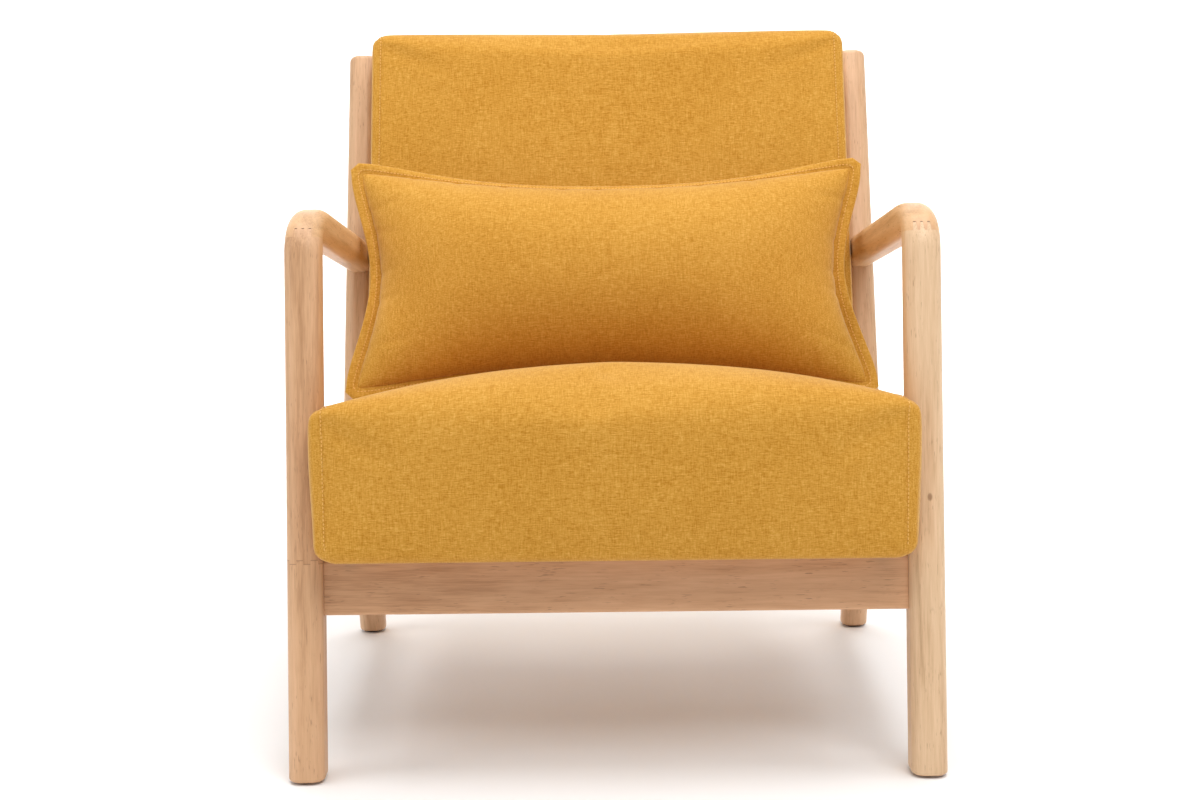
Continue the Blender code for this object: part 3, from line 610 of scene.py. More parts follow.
class PostShape:
    """The bent rear post, from the frame's post and foot, in world axes."""

    def __init__(self, settings):
        self.s = settings
        low, high = tilted_box("rear_post_left", settings.recline)
        self.half = (high.x - low.x) / 2
        self.turn = tilt_matrix(settings.recline)
        self.front, self.top = low.y, high.z
        self.depth = settings.member_depth
        foot = box_centre("glide_rear_left")
        self.foot_half = 0.018 / math.cos(settings.lean)
        self.sole = Vector((foot.y - self.foot_half, 0))
        self.foot_depth, self.foot_width = 0.036, 0.034
        self.glide_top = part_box("glide_rear_left")[1].z

    def on_back(self, y, z):
        """A point of the back axes as world (y, z)."""
        p = self.turn @ Vector((0, y, z))
        return Vector((p.y, p.z))

    def knee(self):
        up = self.on_back(self.front, self.top) - self.on_back(self.front, 0)
        low = self.on_back(self.front, 0)
        return low + up * ((self.s.knee_height - low.y) / up.y)

    def outline(self, grow):
        top_front = self.on_back(self.front - grow, self.top + 0.01)
        top_rear = self.on_back(self.front + self.depth + grow, self.top + 0.01)
        knee = self.knee()
        shin = (self.sole - knee).normalized()
        square = Vector((-shin.y, shin.x))
        sole = self.sole + shin * 0.03
        level = Vector((math.cos(self.s.recline), 0))
        front_knee = knee - (square + level).normalized() * grow
        front_sole, rear_sole = sole - square * grow, sole + square * (self.foot_depth + grow)
        rear_low = knee + square * (self.depth + grow)
        rear_high = self.on_back(self.front + self.depth + grow, 0)
        rear_knee = crossing(rear_low, rear_sole, rear_high, top_rear)
        bend = self.s.knee_round
        front_bend = bezier(towards(front_knee, top_front, bend), front_knee,
                            towards(front_knee, front_sole, bend), 12)
        rear_bend = bezier(towards(rear_knee, rear_sole, bend), rear_knee,
                           towards(rear_knee, top_rear, bend), 12)
        return ([tuple(top_front)] + front_bend + [tuple(front_sole), tuple(rear_sole)]
                + rear_bend + [tuple(top_rear)])

    def solid(self, name, side, grow=0.0):
        up = (self.turn.to_3x3() @ Vector((0, 0, 1)))
        end = self.turn @ Vector((0, 0, self.top + 0.01))
        bm = rounded_slab(self.outline(grow), self.half + grow, self.s.edge_round + grow,
                          self.s.segments,
                          lambda p: p.z < 0 or up.dot(p - end) > -1e-4)
        narrowing = 1 - self.foot_width / (2 * self.half)
        for i in range(1, 14):
            level = Vector((0, 0, i * self.top / 14))
            bmesh.ops.bisect_plane(bm, geom=bm.verts[:] + bm.edges[:] + bm.faces[:],
                                   plane_co=level, plane_no=(0, 0, 1), dist=1e-6)
        if not grow:
            trim(bm, self.turn @ Vector((0, 0, self.top)), up, TOP_ROUND, 5)
            sole = Vector((0, 0, self.glide_top + CLEARANCE))
            trim(bm, sole, Vector((0, 0, -1)), FOOT_ROUND, 4)
        bmesh.ops.triangulate(bm, faces=[f for f in bm.faces if len(f.verts) > 4])
        bend_start = self.s.knee_height - self.s.knee_round
        for vert in bm.verts:
            below = min(max((bend_start - vert.co.z) / bend_start, 0), 1)
            vert.co.x *= 1 - narrowing * below
        x = side * box_centre("rear_post_right").x
        return new_object(name, bm, None, Matrix.Translation((x, 0, 0)))

    def grain(self, point):
        """Grain coordinates that follow the bend."""
        knee = self.knee()
        upper = self.turn.to_3x3() @ Vector((0, 0, 1))
        lower = Vector((0, knee.x - self.sole.x, knee.y - self.sole.y)).normalized()
        share = min(max((point.z - self.s.knee_height) / 0.10 + 0.5, 0), 1)
        share = share * share * (3 - 2 * share)
        direction = lower.lerp(upper, share).normalized()
        back = Vector((0, direction.z, -direction.y))
        from_knee = point - Vector((0, knee.x, knee.y))
        return point.x, from_knee.dot(direction), from_knee.dot(back)


def bolt_place(node):
    """Where a bolt's head ends, with +Z pointing out of the chair, and the bolt's length."""
    low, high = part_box(node)
    centre = (low + high) / 2
    side = math.copysign(1, centre.x)
    face = high.x if side > 0 else low.x
    turn = Matrix.Rotation(side * math.pi / 2, 4, "Y")
    return Matrix.Translation((face, centre.y, centre.z)) @ turn, high.x - low.x


def bolt_hole(obj, node, depth):
    """A counterbore and shank hole for one bolt, in the member that its head sits in."""
    shank, bore, head_seat = 0.0036, 0.0066, -0.0028
    profile = [(shank, -depth), (shank, head_seat), (bore, head_seat), (bore, 0.02)]
    carve(obj, new_object("drill", turned(profile, 28), None, bolt_place(node)[0]))


class CHAIR_OT_front_legs(bpy.types.Operator):
    """Round-edged front legs with the fingers that join them to the arms"""
    bl_idname = "chair.front_legs"
    bl_label = "Front Legs"

    def execute(self, context):
        shape = SideShape(context.scene.chair_frame)
        wood = context.scene.chair_wood
        looks = {"left": (wood.left_leg, 0.181, None), "right": (wood.right_leg, None, (0.002, 0.24))}
        for seed, (word, side) in enumerate(SIDES.items(), 1):
            leg = shape.solid(f"leg_{word}", side)
            carve(leg, shape.fingers("comb", side, 0.00003), "INTERSECT")
            bolt_hole(leg, f"rail_bolt_front_{word}", 0.05)
            tone, joint, knot = looks[word]
            paint(leg, wood_material(f"leg_wood_{word}", tone, seed, (0, 0, 1), joint, knot))
            set_grain(leg, 2)
            put(leg, "chair", "wood", f"front_leg_{word}")
        return {"FINISHED"}


class CHAIR_OT_arms(bpy.types.Operator):
    """Arms with rounded elbows, slotted over the legs' fingers and coped to the posts"""
    bl_idname = "chair.arms"
    bl_label = "Arms"

    def execute(self, context):
        settings = context.scene.chair_frame
        shape, post = SideShape(settings), PostShape(settings)
        wood = context.scene.chair_wood
        for seed, (word, side) in enumerate(SIDES.items(), 5):
            arm = shape.solid(f"armrest_{word}", side)
            carve(arm, shape.fingers("comb", side, -0.00003, 0.0006))
            middle = post.front + post.depth / 2
            corners = [(-1, middle, -1), (1, middle, -1), (1, middle, 1), (-1, middle, 1)]
            behind = prism([post.turn @ Vector(c) for c in corners],
                           post.turn.to_3x3() @ Vector((0, 1, 0)))
            carve(arm, post.solid("cope", side, COPE_GAP))
            carve(arm, new_object("behind", behind, None))
            paint(arm, wood_material(f"arm_wood_{word}", wood.arms, seed, (0, 1, 0)))
            set_grain(arm, 1)
            put(arm, "chair", "wood", f"arm_{word}")
        return {"FINISHED"}


class CHAIR_OT_rear_posts(bpy.types.Operator):
    """Bent rear posts that carry the back and stand as the rear legs"""
    bl_idname = "chair.rear_posts"
    bl_label = "Rear Posts"

    def execute(self, context):
        shape = PostShape(context.scene.chair_frame)
        wood = context.scene.chair_wood
        for seed, (word, side) in enumerate(SIDES.items(), 9):
            post = shape.solid(f"post_{word}", side)
            for row in ("lower", "upper"):
                bolt_hole(post, f"back_bolt_{row}_{word}", 0.05)
            up = shape.turn.to_3x3() @ Vector((0, 0, 1))
            paint(post, wood_material(f"post_wood_{word}", wood.posts, seed, up))
            set_grain(post, shape.grain)
            put(post, "chair", "wood", f"rear_post_{word}")
        return {"FINISHED"}


class CHAIR_OT_rails(bpy.types.Operator):
    """The four rails under the seat, coped to the round members"""
    bl_idname = "chair.rails"
    bl_label = "Seat Rails"

    def execute(self, context):
        settings = context.scene.chair_frame
        wood = context.scene.chair_wood
        side_shape, post = SideShape(settings), PostShape(settings)
        for seed, node in enumerate(("front_rail", "rear_rail", "side_rail_left",
                                     "side_rail_right"), 13):
            low, high = tilted_box(node, settings.lean)
            bm = bmesh.new()
            bmesh.ops.create_cube(bm, size=1)
            bmesh.ops.scale(bm, vec=high - low, verts=bm.verts)
            bmesh.ops.translate(bm, vec=(high + low) / 2, verts=bm.verts)
            along = 1 if node.startswith("side") else 0
            edges = [e for e in bm.edges
                     if abs(e.verts[0].co[along] - e.verts[1].co[along]) > 0.1]
            bmesh.ops.bevel(bm, geom=edges, offset=settings.rail_round, segments=5,
                            profile=0.5, affect="EDGES")
            rail = new_object(node + "_board", bm, None, tilt_matrix(settings.lean))
            for word, side in SIDES.items():
                if node == "rear_rail" or (along and word not in node):
                    continue
                carve(rail, side_shape.solid("cope", side, COPE_GAP))
                if along:
                    carve(rail, post.solid("cope", side, COPE_GAP))
            if along:
                word = node.rsplit("_", 1)[1]
                bolt_hole(rail, f"rail_bolt_rear_{word}", 0.04)
            tone = wood.posts if along else wood.rails
            run = (0, 1, 0) if along else (1, 0, 0)
            paint(rail, wood_material(node + "_wood", tone, seed, run))
            set_grain(rail, along, (low + high) / 2)
            put(rail, "chair", "wood" if along else "rail_wood", node)
        return {"FINISHED"}


# ---------------------------------------------------------------- feet and fasteners

class CHAIR_OT_glides(bpy.types.Operator):
    """Dark round glides under the four feet"""
    bl_idname = "chair.glides"
    bl_label = "Foot Glides"

    def execute(self, context):
        plastic = speckled_material("glide_plastic", (0.045, 0.032, 0.024), 0.5, size=900)
        for row in ("front", "rear"):
            for word in SIDES:
                low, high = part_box(f"glide_{row}_{word}")
                r, top = (high.x - low.x) / 2, high.z
                profile = [(r - 0.0012, 0), (r - 0.0003, 0.0004), (r, 0.0011),
                           (r, top - 0.0005), (r - 0.0006, top)]
                centre = (low + high) / 2
                obj = new_object(f"foot_glide_{row}_{word}", turned(profile, 48), plastic,
                                 Matrix.Translation((centre.x, centre.y, 0)))
                put(obj, "chair", "glide", f"glide_{row}_{word}")
        return {"FINISHED"}


class CHAIR_OT_bolts(bpy.types.Operator):
    """Flat-headed bolts with hexagon sockets"""
    bl_idname = "chair.bolts"
    bl_label = "Bolts"

    def execute(self, context):
        steel = speckled_material("bolt_steel", (0.50, 0.50, 0.51), 0.3, 1.0, 600, 0.1, 0.00005)
        for node in sorted(frame["nodes"]):
            if not node.startswith(("rail_bolt", "back_bolt")):
                continue
            place, reach = bolt_place(node)
            profile = [(0.003, -reach), (0.003, -0.0025), (0.0059, -0.0025), (0.006, -0.0021),
                       (0.006, -0.0007), (0.0053, 0)]
            bolt = new_object(f"{node}_turned", turned(profile, 36), steel, place)
            socket = turned([(0.0023, -0.0019), (0.0023, 0.01)], 6)
            carve(bolt, new_object("socket", socket, None, place))
            bolt.data.set_sharp_from_angle(angle=math.radians(30))
            put(bolt, "chair", "steel", node)
        return {"FINISHED"}


class CHAIR_OT_inner_parts(bpy.types.Operator):
    """Finishes for the frame's parts that stay out of sight inside the cushions and joints"""
    bl_idname = "chair.inner_parts"
    bl_label = "Inner Parts"

    def execute(self, context):
        wood = inner_wood_material()
        finishes = {
            "inner_wood": wood,
            "steel": speckled_material("plated_steel", (0.55, 0.54, 0.5), 0.35, 1.0, 600, 0.1,
                                       0.00005),
            "webbing": speckled_material("black_webbing", (0.03, 0.03, 0.032), 0.8, size=900,
                                         relief=0.0006, stretch=(0.2, 1, 1)),
            "dust_cloth": speckled_material("black_lining", (0.02, 0.02, 0.021), 0.9, size=1300),
        }
        slots = {p["node"]: p["material_slot"] for p in frame["record"]["subparts"]}
        for node, obj in frame["nodes"].items():
            finish = finishes.get(slots.get(node))
            if finish and not obj.hide_render:
                paint(obj, finish)
        return {"FINISHED"}


# ---------------------------------------------------------------- stuffed pieces

def rounded_cage(low, high, radius, cuts):
    """A rounded box as an evenly subdivided cube."""
    half = (high - low) / 2
    centre = (high + low) / 2
    bm = bmesh.new()
    bmesh.ops.create_cube(bm, size=2)
    bmesh.ops.subdivide_edges(bm, edges=bm.edges, cuts=cuts, use_grid_fill=True)
    for vert in bm.verts:
        p = Vector([vert.co[i] * half[i] for i in range(3)])
        core = Vector([max(min(p[i], half[i] - radius), radius - half[i]) for i in range(3)])
        out = p - core
        vert.co = centre + core + out.normalized() * radius
    return bm


def remesh(obj, voxel):
    modifier = obj.modifiers.new("even cells", "REMESH")
    modifier.mode = "VOXEL"
    modifier.voxel_size = voxel
    modifier.use_smooth_shade = True
    bake_modifiers(obj)


def vertex_arrays(mesh):
    count = len(mesh.vertices)
    co = np.empty(count * 3, np.float32)
    normal = np.empty(count * 3, np.float32)
    mesh.vertices.foreach_get("co", co)
    mesh.vertices.foreach_get("normal", normal)
    return co.reshape(-1, 3).astype(float), normal.reshape(-1, 3).astype(float)


def write_vertices(mesh, co):
    mesh.vertices.foreach_set("co", co.astype(np.float32).ravel())
    mesh.update()


def inflate(obj, pinned, pressure, cap, frames=20):
    """Blows the cloth up from inside, held at its pinned points, and moves no point past cap."""
    group = obj.vertex_groups.new(name="held")
    group.add([int(i) for i in np.nonzero(pinned)[0]], 1.0, "REPLACE")
    rest, _ = vertex_arrays(obj.data)
    cloth = obj.modifiers.new("cloth", "CLOTH")
    s = cloth.settings
    s.quality = 4
    s.mass = 0.3
    s.tension_stiffness = s.compression_stiffness = 25
    s.shear_stiffness = 12
    s.bending_stiffness = 1.5
    s.vertex_group_mass = "held"
    s.use_pressure = True
    s.uniform_pressure_force = pressure
    s.effector_weights.gravity = 0
    cloth.collision_settings.use_collision = False
    cloth.point_cache.frame_start = 1
    cloth.point_cache.frame_end = frames
    scene = bpy.context.scene
    for number in range(1, frames + 1):
        scene.frame_set(number)
    graph = bpy.context.evaluated_depsgraph_get()
    blown, _ = vertex_arrays(obj.evaluated_get(graph).data)
    obj.modifiers.remove(cloth)
    obj.vertex_groups.remove(group)
    scene.frame_set(1)
    step = blown - rest
    size = np.linalg.norm(step, axis=1, keepdims=True)
    soft = cap * np.tanh(size / cap)
    write_vertices(obj.data, rest + step * (soft / np.maximum(size, 1e-9)))


def relax(obj, rounds):
    """Evens out the mesh without shrinking it much."""
    bm = bmesh.new()
    bm.from_mesh(obj.data)
    for _ in range(rounds):
        bmesh.ops.smooth_vert(bm, verts=bm.verts, factor=0.5, use_axis_x=True,
                              use_axis_y=True, use_axis_z=True)
    bm.to_mesh(obj.data)
    bm.free()


def refine(obj):
    modifier = obj.modifiers.new("fine", "SUBSURF")
    modifier.levels = modifier.render_levels = 1
    bake_modifiers(obj)


def surface_tree(obj):
    bm = bmesh.new()
    bm.from_mesh(obj.data)
    tree = BVHTree.FromBMesh(bm)
    bm.free()
    return tree


def lay_on(tree, points):
    """The points moved onto the surface, with the surface's normals there."""
    laid = [tree.find_nearest(Vector(p))[:2] for p in points]
    return [p for p, _ in laid], [n for _, n in laid]


def even_path(points, pitch):
    """Points spaced by pitch along a polyline."""
    out, carried = [Vector(points[0])], 0.0
    for a, b in zip(points, points[1:]):
        a, b = Vector(a), Vector(b)
        span = (b - a).length
        place = pitch - carried
        while place < span:
            out.append(a.lerp(b, place / span))
            place += pitch
        carried = span - (place - pitch)
    return out


def press_line(obj, points, width, depth):
    """Presses a groove into the mesh along a line that lies on it."""
    tree = kdtree.KDTree(len(points))
    for i, p in enumerate(points):
        tree.insert(p, i)
    tree.balance()
    co, normal = vertex_arrays(obj.data)
    for i in range(len(co)):
        distance = tree.find(co[i])[2]
        if distance < width:
            fall = (1 - (distance / width) ** 2) ** 2
            co[i] -= normal[i] * depth * fall
    write_vertices(obj.data, co)


def add_stitches(name, rows, matrix, material, body):
    """Short raised stitches along rows of surface points: (points, normals) each."""
    bm = bmesh.new()
    for points, normals in rows:
        for i in range(0, len(points) - 1):
            a, b = points[i], points[i + 1]
            along = (b - a).normalized()
            up = normals[i]
            side = along.cross(up).normalized()
            half = (b - a).length * 0.40
            centre = (a + b) / 2 + up * 0.00025
            place = Matrix((along, side, up)).transposed().to_4x4()
            place.translation = centre
            made = bmesh.ops.create_icosphere(bm, subdivisions=1, radius=1)["verts"]
            bmesh.ops.scale(bm, vec=(half, 0.0007, 0.0006), verts=made)
            bmesh.ops.transform(bm, matrix=place, verts=made)
    obj = new_object(name, bm, material, matrix)
    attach(obj, body)
    return obj


def sew_sides(obj, guides, width, depth):
    """Presses the side seams along their guides, and the dip under the rows of stitches
    beside them. Returns the rows."""
    cloth = bpy.context.scene.chair_cloth
    tree = surface_tree(obj)
    rows = []
    for side, guide in guides.items():
        seam, _ = lay_on(tree, even_path(guide, SEAM_STEP))
        press_line(obj, seam, width, depth)
        shift = Vector((side * cloth.stitch_inset, 0, 0))
        rows.append(lay_on(tree, even_path([p - shift for p in seam], cloth.stitch_pitch)))
    for points, _ in rows:
        press_line(obj, points, width=0.0045, depth=0.0007)
    return rows


def finish_cloth(obj, body, material, fill, *nodes):
    paint(obj, material)
    obj.data.shade_smooth()
    put(obj, body, "fabric", *nodes)


def beside_panels(normal):
    """Where a cushion's rounded edges turn towards its side panels."""
    return np.abs(np.abs(normal[:, 0]) - 0.68) < 0.13


def smooth_step(value, low, high):
    t = np.clip((value - low) / (high - low), 0, 1)
    return t * t * (3 - 2 * t)


class CHAIR_OT_seat(bpy.types.Operator):
    """Crowned seat cushion between the legs, with topstitched side seams"""
    bl_idname = "chair.seat"
    bl_label = "Seat Cushion"

    nose_dip, nose_length = 0.62, 0.030     # the crown fades towards the front edge
    belly = 0.007                           # the front face swells out by this

    def shape(self, co, low, high, settings):
        """Crowns the top, rounds the front over and lets it swell past the legs."""
        x, y, z = co.T
        half = high.x
        run = high.y - low.y
        along = np.clip((y - low.y) / run, 0, 1)
        height = np.clip((z - low.z) / (high.z - low.z), 0, 1)
        across = np.abs((x / half - 0.035) / 1.035)
        dome = 1 - np.clip(across, 0, 1) ** 2.3
        fade = 1 - (1 - exact(settings.seat_rear_crown)) * smooth_step(along, 0.12, 0.95)
        nose = 1 - self.nose_dip * np.exp(-(y - low.y) / self.nose_length)
        z = z + settings.seat_crown * dome * fade * nose * height ** 2
        swell = np.sin(np.pi * np.clip(height, 0, 1))
        y = y - self.belly * (1 - (x / half) ** 2) * swell * (1 - along) ** 10
        y = y + exact(settings.seat_slope) * (co[:, 2] - low.z) * along
        return np.stack([x, y, z], axis=1)

    def clear_legs(self, co, low, half, settings):
        """Keeps the sides between the legs; only ahead of them may they stand out."""
        leg_front = tilted_box("front_leg_left", bpy.context.scene.chair_frame.lean)[0].y
        ahead = 1 - smooth_step(co[:, 1], leg_front - 0.012, leg_front - 0.001)
        limit = half + settings.seat_swell * ahead
        height = (co[:, 2] - low.z) / exact(settings.seat_height)
        round_off = (0.45 + 0.55 * smooth_step(height, 0.1, 0.8)) \
            * smooth_step(height, -0.02, 0.10) * (1 - smooth_step(height, 0.93, 1.08))
        co[:, 0] += np.sign(co[:, 0]) * smooth_step(np.abs(co[:, 0]), half * 0.93, half) \
            * settings.seat_swell * ahead * round_off
        co[:, 0] = np.clip(co[:, 0], -limit, limit)
        return co

    def execute(self, context):
        settings = context.scene.chair_cloth
        lean = context.scene.chair_frame.lean
        matrix = tilt_matrix(lean)
        cad_low, cad_high = tilted_box("seat_cover", lean)
        half = cad_high.x
        tall = exact(settings.seat_height)
        rear = cad_high.y - exact(settings.seat_slope) * tall - 0.002
        low = Vector((-half, cad_low.y, cad_low.z))
        high = Vector((half, rear, cad_low.z + tall))
        seat = new_object("seat_cushion", rounded_cage(low, high, 0.015, 39), None, matrix)
        remesh(seat, settings.voxel)
        co, _ = vertex_arrays(seat.data)
        write_vertices(seat.data, self.shape(co, low, high, settings))
        co, normal = vertex_arrays(seat.data)
        seam, under = beside_panels(normal), normal[:, 2] < -FACE_ON
        behind = co[:, 1] > high.y - 0.03
        inflate(seat, seam | under | behind, pressure=3.2, cap=0.010)
        co, _ = vertex_arrays(seat.data)
        write_vertices(seat.data, self.clear_legs(co, low, half, settings))
        relax(seat, 3)
        refine(seat)
        guides = {}
        for side in SIDES.values():
            x = side * (half + settings.seat_swell * 0.6 - 0.003)
            guides[side] = [(x, low.y - 0.006, low.z + 0.012), (x, low.y - 0.006, high.z - 0.018),
                            (x, low.y + 0.02, high.z + 0.012), (x, high.y + 0.01, high.z + 0.012)]
        rows = sew_sides(seat, guides, width=0.0042, depth=0.0011)
        finish_cloth(seat, "chair", cloth_material("seat_weave"), 0.9, "seat_cover", "seat_foam")
        add_stitches("seat_topstitch", rows, matrix, thread_material(), "chair")
        return {"FINISHED"}


class CHAIR_OT_back(bpy.types.Operator):
    """Tall back cushion between the posts, upholstered all round"""
    bl_idname = "chair.back"
    bl_label = "Back Cushion"

    front_bulge, top_bulge = 0.004, 0.0012

    def execute(self, context):
        settings = context.scene.chair_cloth
        recline = context.scene.chair_frame.recline
        matrix = tilt_matrix(recline)
        low, high = tilted_box("back_cover", recline)
        half = high.x
        back = new_object("back_cushion", rounded_cage(low, high, 0.017, 39), None, matrix)
        remesh(back, settings.voxel)
        co, normal = vertex_arrays(back.data)
        seam, under = beside_panels(normal), normal[:, 2] < -FACE_ON
        rear = normal[:, 1] > FACE_ON
        front = np.clip(-normal[:, 1], 0, 1)
        face = (1 - (co[:, 0] / half) ** 4)
        co[:, 1] -= self.front_bulge * front * face
        co[:, 2] += self.top_bulge * np.clip(normal[:, 2], 0, 1) * face
        write_vertices(back.data, co)
        inflate(back, seam | rear | under, pressure=3.0, cap=0.006)
        co, _ = vertex_arrays(back.data)
        co[:, 0] = np.clip(co[:, 0], -half, half)
        write_vertices(back.data, co)
        relax(back, 2)
        refine(back)
        guides = {}
        for side in SIDES.values():
            x = side * (half - 0.0035)
            guides[side] = [(x, low.y - 0.002, low.z + 0.02), (x, low.y - 0.002, high.z - 0.016),
                            (x, low.y + 0.016, high.z + 0.004),
                            (x, high.y - 0.015, high.z + 0.004),
                            (x, high.y, high.z - 0.016), (x, high.y, low.z + 0.02)]
        rows = sew_sides(back, guides, width=0.0040, depth=0.0010)
        finish_cloth(back, "chair", cloth_material("back_weave", -0.02), 0.9, "back_cover",
                     "back_foam")
        add_stitches("back_topstitch", rows, matrix, thread_material(), "chair")
        return {"FINISHED"}


class PillowShape:
    """The lumbar pillow's seam line, filling and hem, about its own middle."""

    right_bow = 1.15        # the right end draws in more than the left one
    taper = 0.010           # share of the width that the top loses
    skew = 0.0022           # how far the upper half leans to the left
    lie_back = 62           # degrees that the hem lies back along the long edges
    mitre = 0.38            # how much further the hem reaches at the corners
    fold_depth = 0.0013

    def __init__(self, settings):
        self.half_w = exact(settings.pillow_width / 2)
        self.half_h = exact(settings.pillow_height / 2)
        self.bow = settings.pillow_bow
        self.dip = exact(settings.pillow_dip)
        self.hem = settings.pillow_flange

    def seam_point(self, u, v):
        """The seam line's place for normalised x = u and z = v, each from -1 to 1."""
        bow = self.bow * (self.right_bow if u > 0 else 1)
        width = self.half_w * (1 - self.taper * v)
        x = u * (width - bow * (1 - v * v) ** 1.6) - self.skew * (1 + v)
        z = v * (self.half_h - self.dip * (1 - abs(u) ** 2.2) ** 1.3)
        return x, z

    def body(self, depth, across=100, up=50):
        """Front and back sheets that meet at the seam line."""
        bm = bmesh.new()
        sheets = []
        rim = {}
        for face in (-1, 1):
            rows = []
            for j in range(up + 1):
                row = []
                for i in range(across + 1):
                    edge = i in (0, across) or j in (0, up)
                    if edge and (i, j) in rim:
                        row.append(rim[i, j])
                        continue
                    t, r = 2 * i / across - 1, 2 * j / up - 1
                    u = 0.6 * t + 0.4 * math.sin(t * math.pi / 2)
                    v = 0.6 * r + 0.4 * math.sin(r * math.pi / 2)
                    swell = (max(1 - abs(u) ** 3.4, 0) * max(1 - abs(v) ** 2.4, 0)) ** 0.6
                    x, z = self.seam_point(u, v)
                    vert = bm.verts.new((x, face * depth * swell, z))
                    if edge:
                        rim[i, j] = vert
                    row.append(vert)
                rows.append(row)
            sheets.append(rows)
        for rows in sheets:
            for low, high in zip(rows, rows[1:]):
                for i in range(across):
                    bm.faces.new((low[i], low[i + 1], high[i + 1], high[i]))
        return bm

    def outline(self, count):
        """Closed seam line with eased corners, and its outward directions."""
        points = []
        for side in range(4):
            for i in range(count):
                t = -1 + 2 * i / count
                u, v = ((t, -1), (1, t), (-t, 1), (-1, -t))[side]
                points.append(Vector(self.seam_point(u, v)))
        for _ in range(2):
            points = [(points[i - 1] + points[i] * 2 + points[(i + 1) % len(points)]) / 4
                      for i in range(len(points))]
        outward = []
        for i, p in enumerate(points):
            run = points[(i + 1) % len(points)] - points[i - 1]
            outward.append(Vector((run.y, -run.x)).normalized())
        return points, outward

    def flange(self, count=110):
        """A soft flat hem swept round the seam; along the top and bottom it lies back."""
        points, outward = self.outline(count)
        width, thick = self.hem, 0.0029
        section = [(-0.003, -0.0010), (0.0006, -0.0013), (0.0022, -0.0022), (0.0044, -thick),
                   (0.0072, -thick)]
        for i in range(7):
            turn = math.pi * (i / 6 - 0.5)
            section.append((width - thick + math.cos(turn) * thick, math.sin(turn) * thick))
        section += [(0.0072, thick), (0.0044, thick), (0.0022, 0.0022), (0.0006, 0.0013),
                    (-0.003, 0.0010)]
        dice = random.Random(4)
        waves = [(dice.uniform(0.0003, 0.0008), dice.randint(3, 19), dice.uniform(0, 6.28))
                 for _ in range(6)]
        bm = bmesh.new()
        rings = []
        total = len(points)
        for i, (p, out) in enumerate(zip(points, outward)):
            turn = 2 * math.pi * i / total
            wave = sum(a * math.sin(k * turn + phase) for a, k, phase in waves)
            flat = abs(out.y) ** 4
            lie = math.radians(self.lie_back) * flat * (1 - abs(p.x / self.half_w) ** 4)
            mitre = 1 + self.mitre * (2 * abs(out.x * out.y)) ** 2
            ring = []
            for reach, depth in section:
                swing = max(reach, 0) * mitre
                o = reach if reach < 0 else swing * math.cos(lie) - depth * math.sin(lie)
                d = depth * math.cos(lie) + swing * math.sin(lie)
                d += wave * max(reach, 0) / width
                ring.append(bm.verts.new((p.x + out.x * o, d, p.y + out.y * o)))
            rings.append(ring)
        for i in range(total):
            a, b = rings[i], rings[(i + 1) % total]
            for j in range(len(section)):
                k = (j + 1) % len(section)
                bm.faces.new((a[j], a[k], b[k], b[j]))
        return bm, points, outward

    def crease(self, obj):
        """Presses short soft folds into the filling, running in from the seam."""
        dice = random.Random(11)
        folds = []
        for side in (-1, 1):
            for z in (-0.085, -0.03, 0.012, 0.05, 0.095):
                folds.append((side * 0.283, z + dice.uniform(-0.012, 0.012), -side,
                              dice.uniform(-0.35, 0.35), dice.uniform(0.03, 0.065)))
        for i in range(9):
            x = -0.24 + 0.06 * i + dice.uniform(-0.015, 0.015)
            for level in (-1, 1):
                folds.append((x, level * 0.122, dice.uniform(-0.4, 0.4), -level,
                              dice.uniform(0.02, 0.04)))
        co, normal = vertex_arrays(obj.data)
        for x, z, run_x, run_z, reach in folds:
            run = np.array([run_x, run_z]) / math.hypot(run_x, run_z)
            from_seam = co[:, [0, 2]] - np.array([x, z])
            along = from_seam @ run
            aside = from_seam @ np.array([-run[1], run[0]])
            width = 0.0045 + 0.05 * np.clip(along, 0, reach)
            fall = np.exp(-(aside / width) ** 2)
            fall *= smooth_step(along, -0.02, 0.008) * (1 - smooth_step(along, reach * 0.3, reach))
            co -= normal * (self.fold_depth * fall)[:, None]
        write_vertices(obj.data, co)


